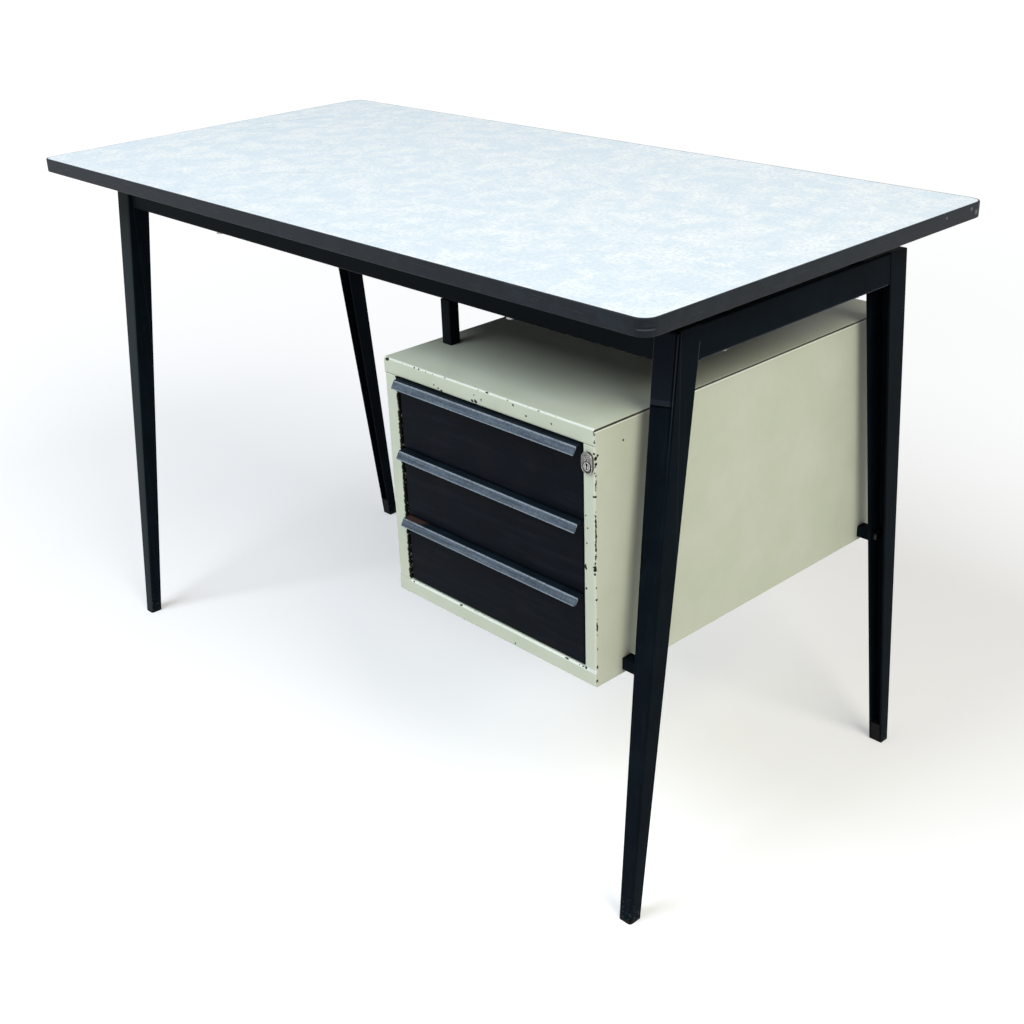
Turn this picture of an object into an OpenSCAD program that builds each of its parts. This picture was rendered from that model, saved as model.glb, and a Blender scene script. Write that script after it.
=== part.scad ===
// School desk: a laminate desktop stands on short spacers over a welded steel frame,
// and a sheet-steel cabinet with three drawers hangs between the rails and the right legs.
// X runs along the desk's width, the front is at negative Y, and the floor is at Z = 0.

/* [Desktop] */
// Width of the desktop
top_w = 1200; // [1000:10:1600]
// Depth of the desktop
top_d = 600; // [590:10:800]
// Height of the desktop's upper face above the floor
top_h = 770; // [720:5:800]
// Thickness of the whole desktop
top_t = 19; // [16:1:30]
// Corner radius of the desktop, seen from above
top_corner_r = 18; // [8:1:60]
// Thickness of each laminate sheet
laminate_t = 1.2; // [0.6:0.1:2]
// Thickness of the edge band
band_t = 2.5; // [1:0.5:4]

/* [Legs] */
// Overhang of the desktop past the legs at each end
end_overhang = 40; // [20:5:80]
// Depth over the frame at the top of the legs
frame_d_top = 412; // [400:2:440]
// Depth over the feet
frame_d_foot = 546; // [520:2:560]
// Width of a leg at its top
leg_w_top = 34.5; // [30:0.5:38]
// Width of a leg at the floor
leg_w_foot = 19.5; // [16:0.5:24]
// Depth of a leg at its top
leg_d_top = 36; // [33:1:42]
// Depth of a leg at the floor
leg_d_foot = 18; // [16:1:24]
// Steel thickness of a leg
leg_t = 3; // [2:0.25:3.5]
// Outer radius of a leg's folds
leg_bend_r = 4; // [3.5:0.5:6]
// Radius of a leg's upper outer corner
leg_top_r = 7; // [3:1:8]
// Thickness of the glide under a foot
glide_t = 4; // [2:1:8]
// Height of the glide's plug inside the leg
glide_plug_h = 26; // [15:1:40]

/* [Rails] */
// Height of the rails
rail_h = 40; // [30:1:50]
// Width of the side rails
side_rail_w = 25; // [20:1:27]
// Width of the front and back rails
cross_rail_w = 20; // [18:1:24]
// Wall of the rails
rail_t = 2; // [1.5:0.25:3]
// Corner radius of the rails
rail_r = 3; // [2:0.5:4]
// How far a side rail lies inside the leg's outer face
side_rail_inset = 0.5; // [0:0.1:1]
// How far a front or back rail lies behind the leg's outer face
cross_rail_inset = 4; // [3:0.5:14]

/* [Desktop fixings] */
// Clear height between the frame and the desktop
top_gap = 24.5; // [10:0.5:40]
// Radius of the spacers under the desktop
spacer_r = 8; // [7:0.5:9]
// Radius of the desktop's screws
top_screw_r = 3; // [2.5:0.5:4]
// Radius of the screws' heads
top_screw_head_r = 6; // [5:0.5:7]
// Height of the screws' heads
top_screw_head_h = 3.5; // [2.5:0.5:5]
// Radius of the threaded inserts in the desktop
insert_r = 5.5; // [5:0.5:7]
// Length of the threaded inserts
insert_l = 12; // [8:1:14]
// Distance between the screws of a front or back rail
cross_screw_pitch = 600; // [400:10:760]
// Distance between the screws of a side rail
side_screw_pitch = 240; // [100:10:280]

/* [Cabinet] */
// Width of the cabinet
cab_w = 342; // [300:1:420]
// Depth of the cabinet
cab_d = 540; // [535:1:560]
// Height of the cabinet
cab_h = 312; // [290:1:360]
// Distance from the desk's middle to the cabinet's front
cab_front = 280; // [270:1:285]
// Distance from the cabinet's right side to the outer face of the legs
cab_to_leg_face = 47; // [42:1:60]
// Sheet thickness of the cabinet
sheet_t = 1.5; // [1:0.1:1.8]
// Outer radius of the cabinet's folds
sheet_bend_r = 2.5; // [2:0.1:3]
// Height of the lips above and below the drawers
lip_h = 20; // [16:1:26]
// Width of the left stile
stile_left_w = 20; // [16:1:26]
// Width of the right stile, which holds the lock
stile_right_w = 17; // [16.5:0.5:20]
// Depth of the turned-in edge behind the stiles and lips
fold_return = 12; // [6:1:14]

/* [Hanging of the cabinet] */
// Side of the square hanger posts
post_w = 15; // [12:1:18]
// Wall of the hanger posts
post_t = 1.5; // [1:0.25:2]
// Height of the hanger posts
post_h = 55.5; // [40:0.5:90]
// Thickness of the posts' foot plates
post_plate_t = 4; // [3:1:6]
// Distance from the cabinet's left side to a post
post_inset = 17; // [5:1:20]
// Radius of the hanger bolts
hanger_bolt_r = 3; // [2.5:0.5:4]
// Side of the square spacer bars between cabinet and legs
bar_w = 15; // [12:1:18]
// Height of the spacer bars' middle above the cabinet's underside
bar_up = 13; // [11:1:14]
// Radius of the bolts through the spacer bars
bar_bolt_r = 4; // [3:0.5:5]

/* [Drawers] */
// Gap above, between and below the drawer fronts
front_gap = 2; // [1:0.5:4]
// Gap beside the drawer fronts
front_side_gap = 2; // [1:0.5:3]
// How far the fronts lie behind the cabinet's face
front_setback = 2.5; // [0:0.5:6]
// Depth of the folded drawer fronts
front_d = 12; // [8:1:13]
// Sheet thickness of the fronts and handles
front_t = 1.5; // [1:0.1:2]
// How far the handle's upper face reaches past the front
handle_reach = 8.5; // [7:0.5:14]
// Sloping length of the handle's lip
handle_lip = 11; // [7:0.5:16]
// Slope of the handle's lip below the horizontal
handle_angle = 60; // [40:5:75]
// Outer radius of the handle's bend
handle_bend_r = 3; // [2.5:0.5:4]
// How much shorter the handle is than the front at each end
handle_end_gap = 1.5; // [0:0.5:5]
// Sheet thickness of the drawer trays
tray_t = 1.2; // [0.8:0.1:1.5]
// Depth of the drawer trays
tray_d = 470; // [450:1:490]
// Height of the trays' sides
tray_h = 66; // [50:1:68]
// Height of a tray's underside above its front's lower edge
tray_up = 5; // [3:1:8]
// Height of the folded hem on the trays' sides
tray_hem_h = 8; // [4:1:10]
// Room between the side of the opening and a tray
tray_side_room = 12.5; // [11:0.5:14]
// How far a drawer pulls out
drawer_travel = 400; // [300:5:420]

/* [Drawer slides] */
// Wall of the runners in the cabinet
runner_t = 1.5; // [1:0.1:2]
// Clear height inside a runner
runner_clear_h = 8; // [7.5:0.1:9]
// Height of a runner's floor above its front's lower edge
runner_up = 18; // [14:1:19]
// Distance from the cabinet's front to the runners
runner_start = 26; // [25:1:34]
// Length of the runners
runner_l = 500; // [480:1:505]
// Gap between a runner's mouth and the tray
runner_mouth_gap = 4; // [2:0.5:5]
// Width of the bar on the tray's side
slide_w = 9.5; // [8:0.5:10]
// Height of the bar on the tray's side
slide_h = 5; // [4:0.1:5]
// Thickness of the nylon pad in a runner's mouth
pad_t = 1.2; // [1:0.1:1.4]
// Length of the nylon pad
pad_l = 20; // [10:1:30]
// Length of the nylon glide behind the bar
glide_l = 14; // [8:1:20]
// Running clearance of pads and glides
run_gap = 0.3; // [0.2:0.05:0.4]

/* [Lock] */
// Distance from the cabinet's right side to the lock's middle
lock_inset = 8.7; // [8.2:0.1:9]
// Distance from the cabinet's top to the middle of the lock's face
lock_drop = 39; // [36:1:42]
// Width of the lock's face
lock_face_w = 15.5; // [14:0.5:16]
// Height of the lock's face
lock_face_h = 24.5; // [22:0.5:28]
// Thickness of the lock's face
lock_face_t = 2.5; // [2:0.5:4]
// How far the plug lies below the middle of the lock's face
plug_drop = 3.8; // [2:0.1:4]
// Radius of the plug
plug_r = 4.6; // [4:0.1:5]
// Running clearance of the plug
plug_gap = 0.1; // [0.05:0.05:0.1]
// Radius of the lock's barrel
barrel_r = 6.2; // [5.8:0.1:6.4]
// Width of the key slot
key_slot_w = 1.4; // [1:0.1:2]
// Height of the key slot
key_slot_h = 6.4; // [5:0.1:7]
// Lift of the locking bar when the key turns a quarter
bar_lift = 5; // [4.5:0.1:5]
// Radius of the cam's pin
cam_pin_r = 1.25; // [1:0.05:1.25]
// Width of the locking bar
lock_bar_w = 12; // [11.5:0.1:12]
// Thickness of the locking bar
lock_bar_t = 2; // [1.5:0.1:2]

/* [Hidden] */
$fn = 64;
eps = 0.01;
// Clearance of screws and bolts in plain holes
hole_gap = 0.3;
// Clearance of inserts, plugs and other pressed pieces
fit_gap = 0.1;

// Desktop
under_z = top_h - top_t;
core_t = top_t - 2 * laminate_t;

// Frame
frame_w = top_w - 2 * end_overhang;
frame_top_z = under_z - top_gap;
rail_z = frame_top_z - rail_h;
leg_inner_r = max(leg_bend_r - leg_t, 0.5);
web_tilt = atan((frame_d_foot - frame_d_top) / 2 / frame_top_z);
side_rail_x = frame_w / 2 - side_rail_inset - side_rail_w / 2;
cross_rail_y = frame_d_top / 2 - cross_rail_inset - cross_rail_w / 2;
top_screw_places = concat(
    [for (x = [-1, 1], y = [-1, 1]) [x * cross_screw_pitch / 2, y * cross_rail_y]],
    [for (x = [-1, 1], y = [-1, 1]) [x * side_rail_x, y * side_screw_pitch / 2]]
);

// Cabinet
cab_x1 = frame_w / 2 - cab_to_leg_face;
cab_x0 = cab_x1 - cab_w;
cab_y0 = -cab_front;
cab_y1 = cab_y0 + cab_d;
cab_z1 = rail_z - post_h;
cab_z0 = cab_z1 - cab_h;
open_x0 = cab_x0 + stile_left_w;
open_x1 = cab_x1 - stile_right_w;
open_z0 = cab_z0 + lip_h;
open_h = cab_h - 2 * lip_h;

// Hanging of the cabinet
post_x = cab_x0 + post_inset + post_w / 2;
post_y = cross_rail_y + (cross_rail_w - post_w) / 2;
hanger_bolt_head_h = 1.3 * hanger_bolt_r;
hanger_bolt_head_r = 1.9 * hanger_bolt_r;
bar_z = cab_z0 + bar_up;
bar_y = (leg_out_y(bar_z) + leg_in_y(bar_z)) / 2;
bar_l = leg_in_x(bar_z + bar_w / 2) - cab_x1;
bolt_head_h = 1.3 * bar_bolt_r;
bolt_head_r = 1.9 * bar_bolt_r;
bolt_head_x = leg_in_x(bar_z - bolt_head_r) + leg_t;
nut_h = 1.6 * bar_bolt_r;

// Drawers
DRAWERS = 3;
front_h = (open_h - (DRAWERS + 1) * front_gap) / DRAWERS;
front_x0 = open_x0 + front_side_gap;
front_w = open_x1 - open_x0 - 2 * front_side_gap;
front_y = cab_y0 + front_setback;
tray_x0 = open_x0 + tray_side_room;
tray_x1 = open_x1 - tray_side_room;
tray_y0 = front_y + front_d;

// Drawer slides
runner_y = cab_y0 + runner_start;
runner_reach_left = tray_x0 - cab_x0 - sheet_t - runner_mouth_gap;
runner_reach_right = cab_x1 - sheet_t - tray_x1 - runner_mouth_gap;
slide_up = runner_up + pad_t + run_gap;
tray_glide_y = runner_y + pad_l + drawer_travel + run_gap;

// Lock, placed from the cabinet's face backwards
lock_x = cab_x1 - lock_inset;
lock_z = cab_z1 - lock_drop;
plug_z = lock_z - plug_drop;
plug_proud = 0.5;
barrel_l = 14;
cam_gap = 1;
cam_t = 1.8;
cam_r = 5.6;
cam_pin_orbit = bar_lift / 2 / sin(45);
cam_pin_past = 0.6;
lock_bar_y = cab_y0 + 19;
lock_clip_t = 1.2;
lock_clip_h = 18;
lock_clip_w = 12.8;

// Locking bar, its hooks and the catches on the trays, from each front's lower edge
hook_up = 30;
hook_h = 4.5;
hook_reach = 11;
catch_gap = 1;
catch_up = hook_up + hook_h + catch_gap;
catch_h = 6;
catch_t = 1.5;
catch_back = 0.5;
slot_gap = 0.4;
bar_top_past = 8;
guide_t = 1.2;
guide_h = 8;
guide_gap = 0.5;
guide_up = 6;

// Width, depth and place of a leg at height z, for the leg at positive X and Y
function between(low, high, z) = low + (high - low) * z / frame_top_z;
function leg_w(z) = between(leg_w_foot, leg_w_top, z);
function leg_d(z) = between(leg_d_foot, leg_d_top, z);
function leg_out_y(z) = between(frame_d_foot / 2, frame_d_top / 2, z);
function leg_in_y(z) = leg_out_y(z) - leg_d(z);
function leg_in_x(z) = frame_w / 2 - leg_w(z);

// Height of the lower edge of drawer front i, counted from the top
function drawer_z(i) = open_z0 + front_gap + (DRAWERS - 1 - i) * (front_h + front_gap);

// Rectangle with round corners, from the origin
module rounded_rect(size, r) {
    translate([r, 0]) square([size.x - 2 * r, size.y]);
    translate([0, r]) square([size.x, size.y - 2 * r]);
    for (x = [r, size.x - r], y = [r, size.y - r])
        translate([x, y]) circle(r);
}

// Sheet with its face along x = 0, folded over by fold_w at both ends and turned in at the front
module folded_sheet(fold_w, depth) {
    difference() {
        rounded_rect([fold_w, depth], sheet_bend_r);
        translate([sheet_t, sheet_t])
            rounded_rect([fold_w - 2 * sheet_t, depth - 2 * sheet_t], sheet_bend_r - sheet_t);
        translate([fold_w - sheet_bend_r, fold_return])
            square([2 * sheet_bend_r, depth - fold_return - sheet_t]);
    }
}

// Desktop

module desktop_outline(inset) {
    translate([-top_w / 2 + inset, -top_d / 2 + inset])
        rounded_rect([top_w - 2 * inset, top_d - 2 * inset], top_corner_r - inset);
}

module insert_holes() {
    for (p = top_screw_places)
        translate([p.x, p.y, under_z - eps])
            cylinder(r = insert_r + fit_gap, h = insert_l + fit_gap + eps);
}

module desktop_board() {
    color("burlywood") difference() {
        translate([0, 0, under_z + laminate_t]) linear_extrude(core_t) desktop_outline(band_t);
        insert_holes();
    }
}

module desktop_laminate() {
    color("aliceblue") translate([0, 0, top_h - laminate_t])
        linear_extrude(laminate_t) desktop_outline(band_t);
}

module desktop_backing() {
    color("dimgray") difference() {
        translate([0, 0, under_z]) linear_extrude(laminate_t) desktop_outline(band_t);
        insert_holes();
    }
}

module desktop_edge_band() {
    color("#1c1d21") translate([0, 0, under_z]) linear_extrude(top_t) difference() {
        desktop_outline(0);
        desktop_outline(band_t);
    }
}

module desktop_inserts() {
    color("silver") for (p = top_screw_places)
        translate([p.x, p.y, under_z]) difference() {
            cylinder(r = insert_r, h = insert_l);
            translate([0, 0, -eps]) cylinder(r = top_screw_r + fit_gap, h = insert_l + 2 * eps);
        }
}

module desktop_spacers() {
    color("#25272c") for (p = top_screw_places)
        translate([p.x, p.y, frame_top_z]) difference() {
            cylinder(r = spacer_r, h = top_gap);
            translate([0, 0, -eps]) cylinder(r = top_screw_r + hole_gap, h = top_gap + 2 * eps);
        }
}

module desktop_screws() {
    color("silver") for (p = top_screw_places)
        translate([p.x, p.y, rail_z]) {
            translate([0, 0, -top_screw_head_h]) cylinder(r = top_screw_head_r, h = top_screw_head_h);
            cylinder(r = top_screw_r, h = under_z - rail_z + insert_l);
        }
}

// Frame

// Tapered block that follows the leg from z_low to z_high, with its outer folds rounded to r
module leg_block(z_low, z_high, inset, open_past, r) {
    hull() for (z = [z_low, z_high - eps])
        translate([0, 0, z]) linear_extrude(eps) {
            for (x = [leg_in_x(z) + inset + r, frame_w / 2 - inset - r])
                translate([x, leg_out_y(z) - inset - r]) circle(r, $fn = 32);
            translate([leg_in_x(z) + inset, leg_in_y(z) - open_past])
                square([leg_w(z) - 2 * inset, leg_t]);
        }
}

// What the rounded upper outer corner takes away from the leg: the round is cut with a few chords,
// and the first and the last one run out through the leg's faces
module leg_corner_cut() {
    chords = 4;
    run_out = 0.5;
    corner = [frame_d_top / 2, frame_top_z];
    middle = corner - leg_top_r * [tan((90 - web_tilt) / 2), 1];
    round = [for (i = [0 : chords])
        middle + leg_top_r * [cos(web_tilt + i * (90 - web_tilt) / chords),
            sin(web_tilt + i * (90 - web_tilt) / chords)]];
    translate([frame_w / 2 - leg_w_top - leg_t, 0, 0]) rotate([90, 0, 90])
        linear_extrude(leg_w_top + 2 * leg_t) polygon(concat(
            [round[0] + run_out * (round[0] - round[1])],
            [for (i = [1 : chords - 1]) round[i]],
            [round[chords] + run_out * (round[chords] - round[chords - 1])],
            [corner + [leg_t, leg_t]]
        ));
}

module leg() {
    core_past = 100;
    color("#202227") difference() {
        leg_block(glide_t, frame_top_z, 0, 0, leg_bend_r);
        leg_block(-core_past, frame_top_z - leg_t, leg_t, leg_t, leg_inner_r);
        leg_corner_cut();
    }
}

// Hole for a spacer bar's bolt through the leg's inner flange
module leg_with_bolt_hole() {
    color("#202227") difference() {
        leg();
        translate([cab_x1, bar_y, bar_z]) rotate([0, 90, 0])
            cylinder(r = bar_bolt_r + hole_gap, h = bolt_head_x - cab_x1 + leg_t);
    }
}

module leg_front_left() { mirror([1, 0, 0]) mirror([0, 1, 0]) leg(); }
module leg_front_right() { mirror([0, 1, 0]) leg_with_bolt_hole(); }
module leg_back_left() { mirror([1, 0, 0]) leg(); }
module leg_back_right() { leg_with_bolt_hole(); }

module foot_glides() {
    color("#17181b") for (mx = [0, 1], my = [0, 1])
        mirror([mx, 0, 0]) mirror([0, my, 0]) {
            leg_block(0, glide_t, 0, 0, leg_bend_r);
            leg_block(glide_t / 2, glide_t + glide_plug_h, leg_t + fit_gap, -fit_gap, leg_inner_r);
        }
}

module rail_profile(w) {
    difference() {
        rounded_rect([w, rail_h], rail_r);
        translate([rail_t, rail_t])
            rounded_rect([w - 2 * rail_t, rail_h - 2 * rail_t], rail_r - rail_t / 2);
    }
}

module top_screw_holes() {
    for (p = top_screw_places)
        translate([p.x, p.y, rail_z - eps]) cylinder(r = top_screw_r + hole_gap, h = rail_h + 2 * eps);
}

// Back rail: a rectangular tube cut to the slope of the legs' inner flanges
module cross_rail() {
    color("#202227") difference() {
        intersection() {
            translate([-frame_w / 2, cross_rail_y - cross_rail_w / 2, rail_z]) rotate([90, 0, 90])
                linear_extrude(frame_w) rail_profile(cross_rail_w);
            rotate([90, 0, 0]) linear_extrude(frame_d_top, center = true) polygon([
                [-leg_in_x(rail_z), rail_z], [leg_in_x(rail_z), rail_z],
                [leg_in_x(frame_top_z), frame_top_z], [-leg_in_x(frame_top_z), frame_top_z]
            ]);
        }
        top_screw_holes();
    }
}

// Right rail: a rectangular tube cut to the slope of the legs' open edges
module side_rail() {
    color("#202227") difference() {
        intersection() {
            translate([side_rail_x + side_rail_w / 2, -frame_d_top / 2, rail_z]) rotate([90, 0, 180])
                linear_extrude(frame_d_top) rail_profile(side_rail_w);
            translate([side_rail_x - side_rail_w, 0, 0]) rotate([90, 0, 90])
                linear_extrude(2 * side_rail_w) polygon([
                    [-leg_in_y(rail_z), rail_z], [leg_in_y(rail_z), rail_z],
                    [leg_in_y(frame_top_z), frame_top_z], [-leg_in_y(frame_top_z), frame_top_z]
                ]);
        }
        top_screw_holes();
    }
}

module rail_back() { cross_rail(); }
module rail_front() { mirror([0, 1, 0]) cross_rail(); }
module rail_right() { side_rail(); }
module rail_left() { mirror([1, 0, 0]) side_rail(); }

// Hanging of the cabinet

// Back post: a square tube from the rail down to the cabinet, with a threaded foot plate
module hanger_post() {
    color("#202227") translate([post_x - post_w / 2, post_y - post_w / 2, cab_z1]) difference() {
        cube([post_w, post_w, post_h]);
        translate([post_t, post_t, post_plate_t])
            cube([post_w - 2 * post_t, post_w - 2 * post_t, post_h]);
        translate([post_w / 2, post_w / 2, -eps])
            cylinder(r = hanger_bolt_r + fit_gap, h = post_plate_t + 2 * eps);
    }
}

module hanger_post_back() { hanger_post(); }
module hanger_post_front() { mirror([0, 1, 0]) hanger_post(); }

module hanger_bolts() {
    color("silver") for (side = [-1, 1])
        translate([post_x, side * post_y, cab_z1 - sheet_t]) {
            translate([0, 0, -hanger_bolt_head_h])
                cylinder(r = hanger_bolt_head_r, h = hanger_bolt_head_h, $fn = 6);
            cylinder(r = hanger_bolt_r, h = sheet_t + 2 * post_plate_t);
        }
}

module leg_spacer_bars() {
    color("#202227") for (side = [-1, 1])
        translate([cab_x1, side * bar_y, bar_z]) difference() {
            translate([0, -bar_w / 2, -bar_w / 2]) cube([bar_l, bar_w, bar_w]);
            translate([-eps, 0, 0]) rotate([0, 90, 0])
                cylinder(r = bar_bolt_r + hole_gap, h = bar_l + 2 * eps);
        }
}

module leg_spacer_bolts() {
    color("silver") for (side = [-1, 1])
        translate([bolt_head_x, side * bar_y, bar_z]) {
            rotate([0, 90, 0]) cylinder(r = bolt_head_r, h = bolt_head_h, $fn = 6);
            rotate([0, -90, 0]) cylinder(r = bar_bolt_r, h = bolt_head_x - cab_x1 + sheet_t + nut_h);
        }
}

module leg_spacer_nuts() {
    color("silver") for (side = [-1, 1])
        translate([cab_x1 - sheet_t, side * bar_y, bar_z]) rotate([0, -90, 0]) difference() {
            cylinder(r = bolt_head_r, h = nut_h, $fn = 6);
            translate([0, 0, -eps]) cylinder(r = bar_bolt_r + fit_gap, h = nut_h + 2 * eps);
        }
}

// Cabinet

// Cover with its lips downwards, from the cabinet's front left corner
module cabinet_cover() {
    difference() {
        rotate([0, 90, 0]) linear_extrude(cab_w) folded_sheet(lip_h, cab_d);
        for (x = [-eps, cab_w - sheet_t])
            translate([x, sheet_t, -lip_h - eps])
                cube([sheet_t + eps, cab_d - 2 * sheet_t, lip_h - sheet_t + eps]);
    }
}

module cabinet_top() {
    color("#c4c8ae") difference() {
        translate([cab_x0, cab_y0, cab_z1]) cabinet_cover();
        for (side = [-1, 1])
            translate([post_x, side * post_y, cab_z1 - 2 * sheet_t])
                cylinder(r = hanger_bolt_r + hole_gap, h = 3 * sheet_t);
    }
}

module cabinet_bottom() {
    color("#c4c8ae") translate([cab_x0, cab_y0, cab_z0]) mirror([0, 0, 1]) cabinet_cover();
}

// Side with its stile towards positive X, from the cabinet's front lower corner
module cabinet_side(stile_w) {
    translate([0, 0, lip_h]) linear_extrude(open_h) folded_sheet(stile_w, cab_d);
    for (z = [sheet_t, cab_h - lip_h])
        translate([0, sheet_t, z]) cube([sheet_t, cab_d - 2 * sheet_t, lip_h - sheet_t]);
}

module cabinet_side_left() {
    color("#c4c8ae") translate([cab_x0, cab_y0, cab_z0]) cabinet_side(stile_left_w);
}

module cabinet_side_right() {
    color("#c4c8ae") difference() {
        translate([cab_x1, cab_y0, cab_z0]) mirror([1, 0, 0]) cabinet_side(stile_right_w);
        translate([lock_x, cab_y0 + 2 * sheet_t, plug_z]) rotate([90, 0, 0])
            cylinder(r = barrel_r + fit_gap, h = 3 * sheet_t);
        for (side = [-1, 1])
            translate([cab_x1 - 2 * sheet_t, side * bar_y, bar_z]) rotate([0, 90, 0])
                cylinder(r = bar_bolt_r + hole_gap, h = 3 * sheet_t);
    }
}

module cabinet_back() {
    color("#b4b89f") translate([cab_x0 + sheet_bend_r, cab_y1 - 2 * sheet_t, cab_z0 + sheet_bend_r])
        cube([cab_w - 2 * sheet_bend_r, sheet_t, cab_h - 2 * sheet_bend_r]);
}

// Runner with its web along x = 0 and its mouth towards positive X, from its clear floor
module runner(reach) {
    difference() {
        translate([0, 0, -runner_t]) cube([reach, runner_l, runner_clear_h + 2 * runner_t]);
        translate([runner_t, -eps, 0]) cube([reach, runner_l + 2 * eps, runner_clear_h]);
    }
}

module cabinet_runners_left() {
    color("#8b8f8a") for (i = [0 : DRAWERS - 1])
        translate([cab_x0 + sheet_t, runner_y, drawer_z(i) + runner_up]) runner(runner_reach_left);
}

module cabinet_runners_right() {
    color("#8b8f8a") for (i = [0 : DRAWERS - 1])
        translate([cab_x1 - sheet_t, runner_y, drawer_z(i) + runner_up])
            mirror([1, 0, 0]) runner(runner_reach_right);
}

module cabinet_runner_pads() {
    pad_w = slide_w - runner_mouth_gap;
    color("ivory") for (i = [0 : DRAWERS - 1], x = [tray_x0 - slide_w, tray_x1 + runner_mouth_gap])
        translate([x, runner_y, drawer_z(i) + runner_up]) cube([pad_w, pad_l, pad_t]);
}

// Drawers, each drawn from the lower edge of its front

module drawer_front() {
    color("#16181f") translate([front_x0, front_y, 0]) difference() {
        linear_extrude(front_h - front_t) rounded_rect([front_w, front_d + sheet_bend_r], sheet_bend_r);
        translate([front_t, front_t, front_t])
            cube([front_w - 2 * front_t, front_d + sheet_bend_r, front_h - 3 * front_t]);
        translate([-eps, front_d, -eps]) cube([front_w + 2 * eps, 2 * sheet_bend_r, front_h]);
    }
}

// All that lies behind a handle's bend of radius r, past the sheet's free ends by past
module handle_core(r, past) {
    bend_l = handle_bend_r * tan(handle_angle / 2);
    core_d = 2 * handle_bend_r + past;
    flange_l = front_d + handle_reach - bend_l + past;
    translate([handle_reach - bend_l, -handle_bend_r]) {
        circle(r);
        translate([-flange_l, -core_d]) square([flange_l, core_d + r]);
        rotate(-handle_angle) translate([0, -core_d]) square([handle_lip - bend_l + past, core_d + r]);
    }
}

// Handle seen from its end: x runs forwards from the front's face, and y = 0 is the upper face
module handle_profile() {
    difference() {
        handle_core(handle_bend_r, 0);
        handle_core(handle_bend_r - front_t, 1);
    }
}

module drawer_handle() {
    color("#5b626e") translate([front_x0 + handle_end_gap, front_y, front_h]) rotate([90, 0, 90])
        linear_extrude(front_w - 2 * handle_end_gap) mirror([1, 0]) handle_profile();
}

module tray_bottom() {
    color("#34373c") translate([tray_x0 + tray_t, tray_y0 + tray_t, tray_up])
        cube([tray_x1 - tray_x0 - 2 * tray_t, tray_d - 2 * tray_t, tray_t]);
}

// Left side of a tray, with its hem folded outwards
module tray_side() {
    cube([tray_t, tray_d, tray_h]);
    translate([-tray_t, 0, tray_h - tray_hem_h]) cube([tray_t, tray_d, tray_hem_h]);
}

module tray_sides() {
    catch_y = lock_bar_y + lock_bar_t + catch_back;
    color("#34373c") {
        translate([tray_x0, tray_y0, tray_up]) tray_side();
        translate([tray_x1, tray_y0, tray_up]) mirror([1, 0, 0]) tray_side();
        translate([tray_x1, catch_y, catch_up]) cube([slide_w, catch_t, catch_h]);
    }
}

module tray_ends() {
    color("#34373c") for (y = [tray_y0, tray_y0 + tray_d - tray_t])
        translate([tray_x0 + tray_t, y, tray_up])
            cube([tray_x1 - tray_x0 - 2 * tray_t, tray_t, tray_h - tray_hem_h]);
}

module tray_slide_bars() {
    color("#8b8f8a") for (x = [tray_x0 - slide_w, tray_x1])
        translate([x, tray_y0, slide_up]) cube([slide_w, tray_glide_y - tray_y0, slide_h]);
}

module tray_glides() {
    color("ivory") for (x = [tray_x0 - slide_w, tray_x1])
        translate([x, tray_glide_y, runner_up + run_gap])
            cube([slide_w, glide_l, runner_clear_h - 2 * run_gap]);
}

module drawer_top_front() { translate([0, 0, drawer_z(0)]) drawer_front(); }
module drawer_top_handle() { translate([0, 0, drawer_z(0)]) drawer_handle(); }
module drawer_top_tray_bottom() { translate([0, 0, drawer_z(0)]) tray_bottom(); }
module drawer_top_tray_sides() { translate([0, 0, drawer_z(0)]) tray_sides(); }
module drawer_top_tray_ends() { translate([0, 0, drawer_z(0)]) tray_ends(); }
module drawer_top_slide_bars() { translate([0, 0, drawer_z(0)]) tray_slide_bars(); }
module drawer_top_glides() { translate([0, 0, drawer_z(0)]) tray_glides(); }

module drawer_middle_front() { translate([0, 0, drawer_z(1)]) drawer_front(); }
module drawer_middle_handle() { translate([0, 0, drawer_z(1)]) drawer_handle(); }
module drawer_middle_tray_bottom() { translate([0, 0, drawer_z(1)]) tray_bottom(); }
module drawer_middle_tray_sides() { translate([0, 0, drawer_z(1)]) tray_sides(); }
module drawer_middle_tray_ends() { translate([0, 0, drawer_z(1)]) tray_ends(); }
module drawer_middle_slide_bars() { translate([0, 0, drawer_z(1)]) tray_slide_bars(); }
module drawer_middle_glides() { translate([0, 0, drawer_z(1)]) tray_glides(); }

module drawer_bottom_front() { translate([0, 0, drawer_z(2)]) drawer_front(); }
module drawer_bottom_handle() { translate([0, 0, drawer_z(2)]) drawer_handle(); }
module drawer_bottom_tray_bottom() { translate([0, 0, drawer_z(2)]) tray_bottom(); }
module drawer_bottom_tray_sides() { translate([0, 0, drawer_z(2)]) tray_sides(); }
module drawer_bottom_tray_ends() { translate([0, 0, drawer_z(2)]) tray_ends(); }
module drawer_bottom_slide_bars() { translate([0, 0, drawer_z(2)]) tray_slide_bars(); }
module drawer_bottom_glides() { translate([0, 0, drawer_z(2)]) tray_glides(); }

// Lock

// Upright slab with round ends around the middle of the lock's face, reaching forwards from y
module lock_slab(w, h, y, t) {
    translate([lock_x, y, lock_z]) rotate([90, 0, 0]) linear_extrude(t) {
        square([w, h - w], center = true);
        for (side = [-1, 1])
            translate([0, side * (h - w) / 2]) circle(w / 2);
    }
}

// Bore and shaft along the plug's axis, from y_front back to y_back
module plug_cylinder(r, y_front, y_back) {
    translate([lock_x, y_back, plug_z]) rotate([90, 0, 0]) cylinder(r = r, h = y_back - y_front);
}

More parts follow.
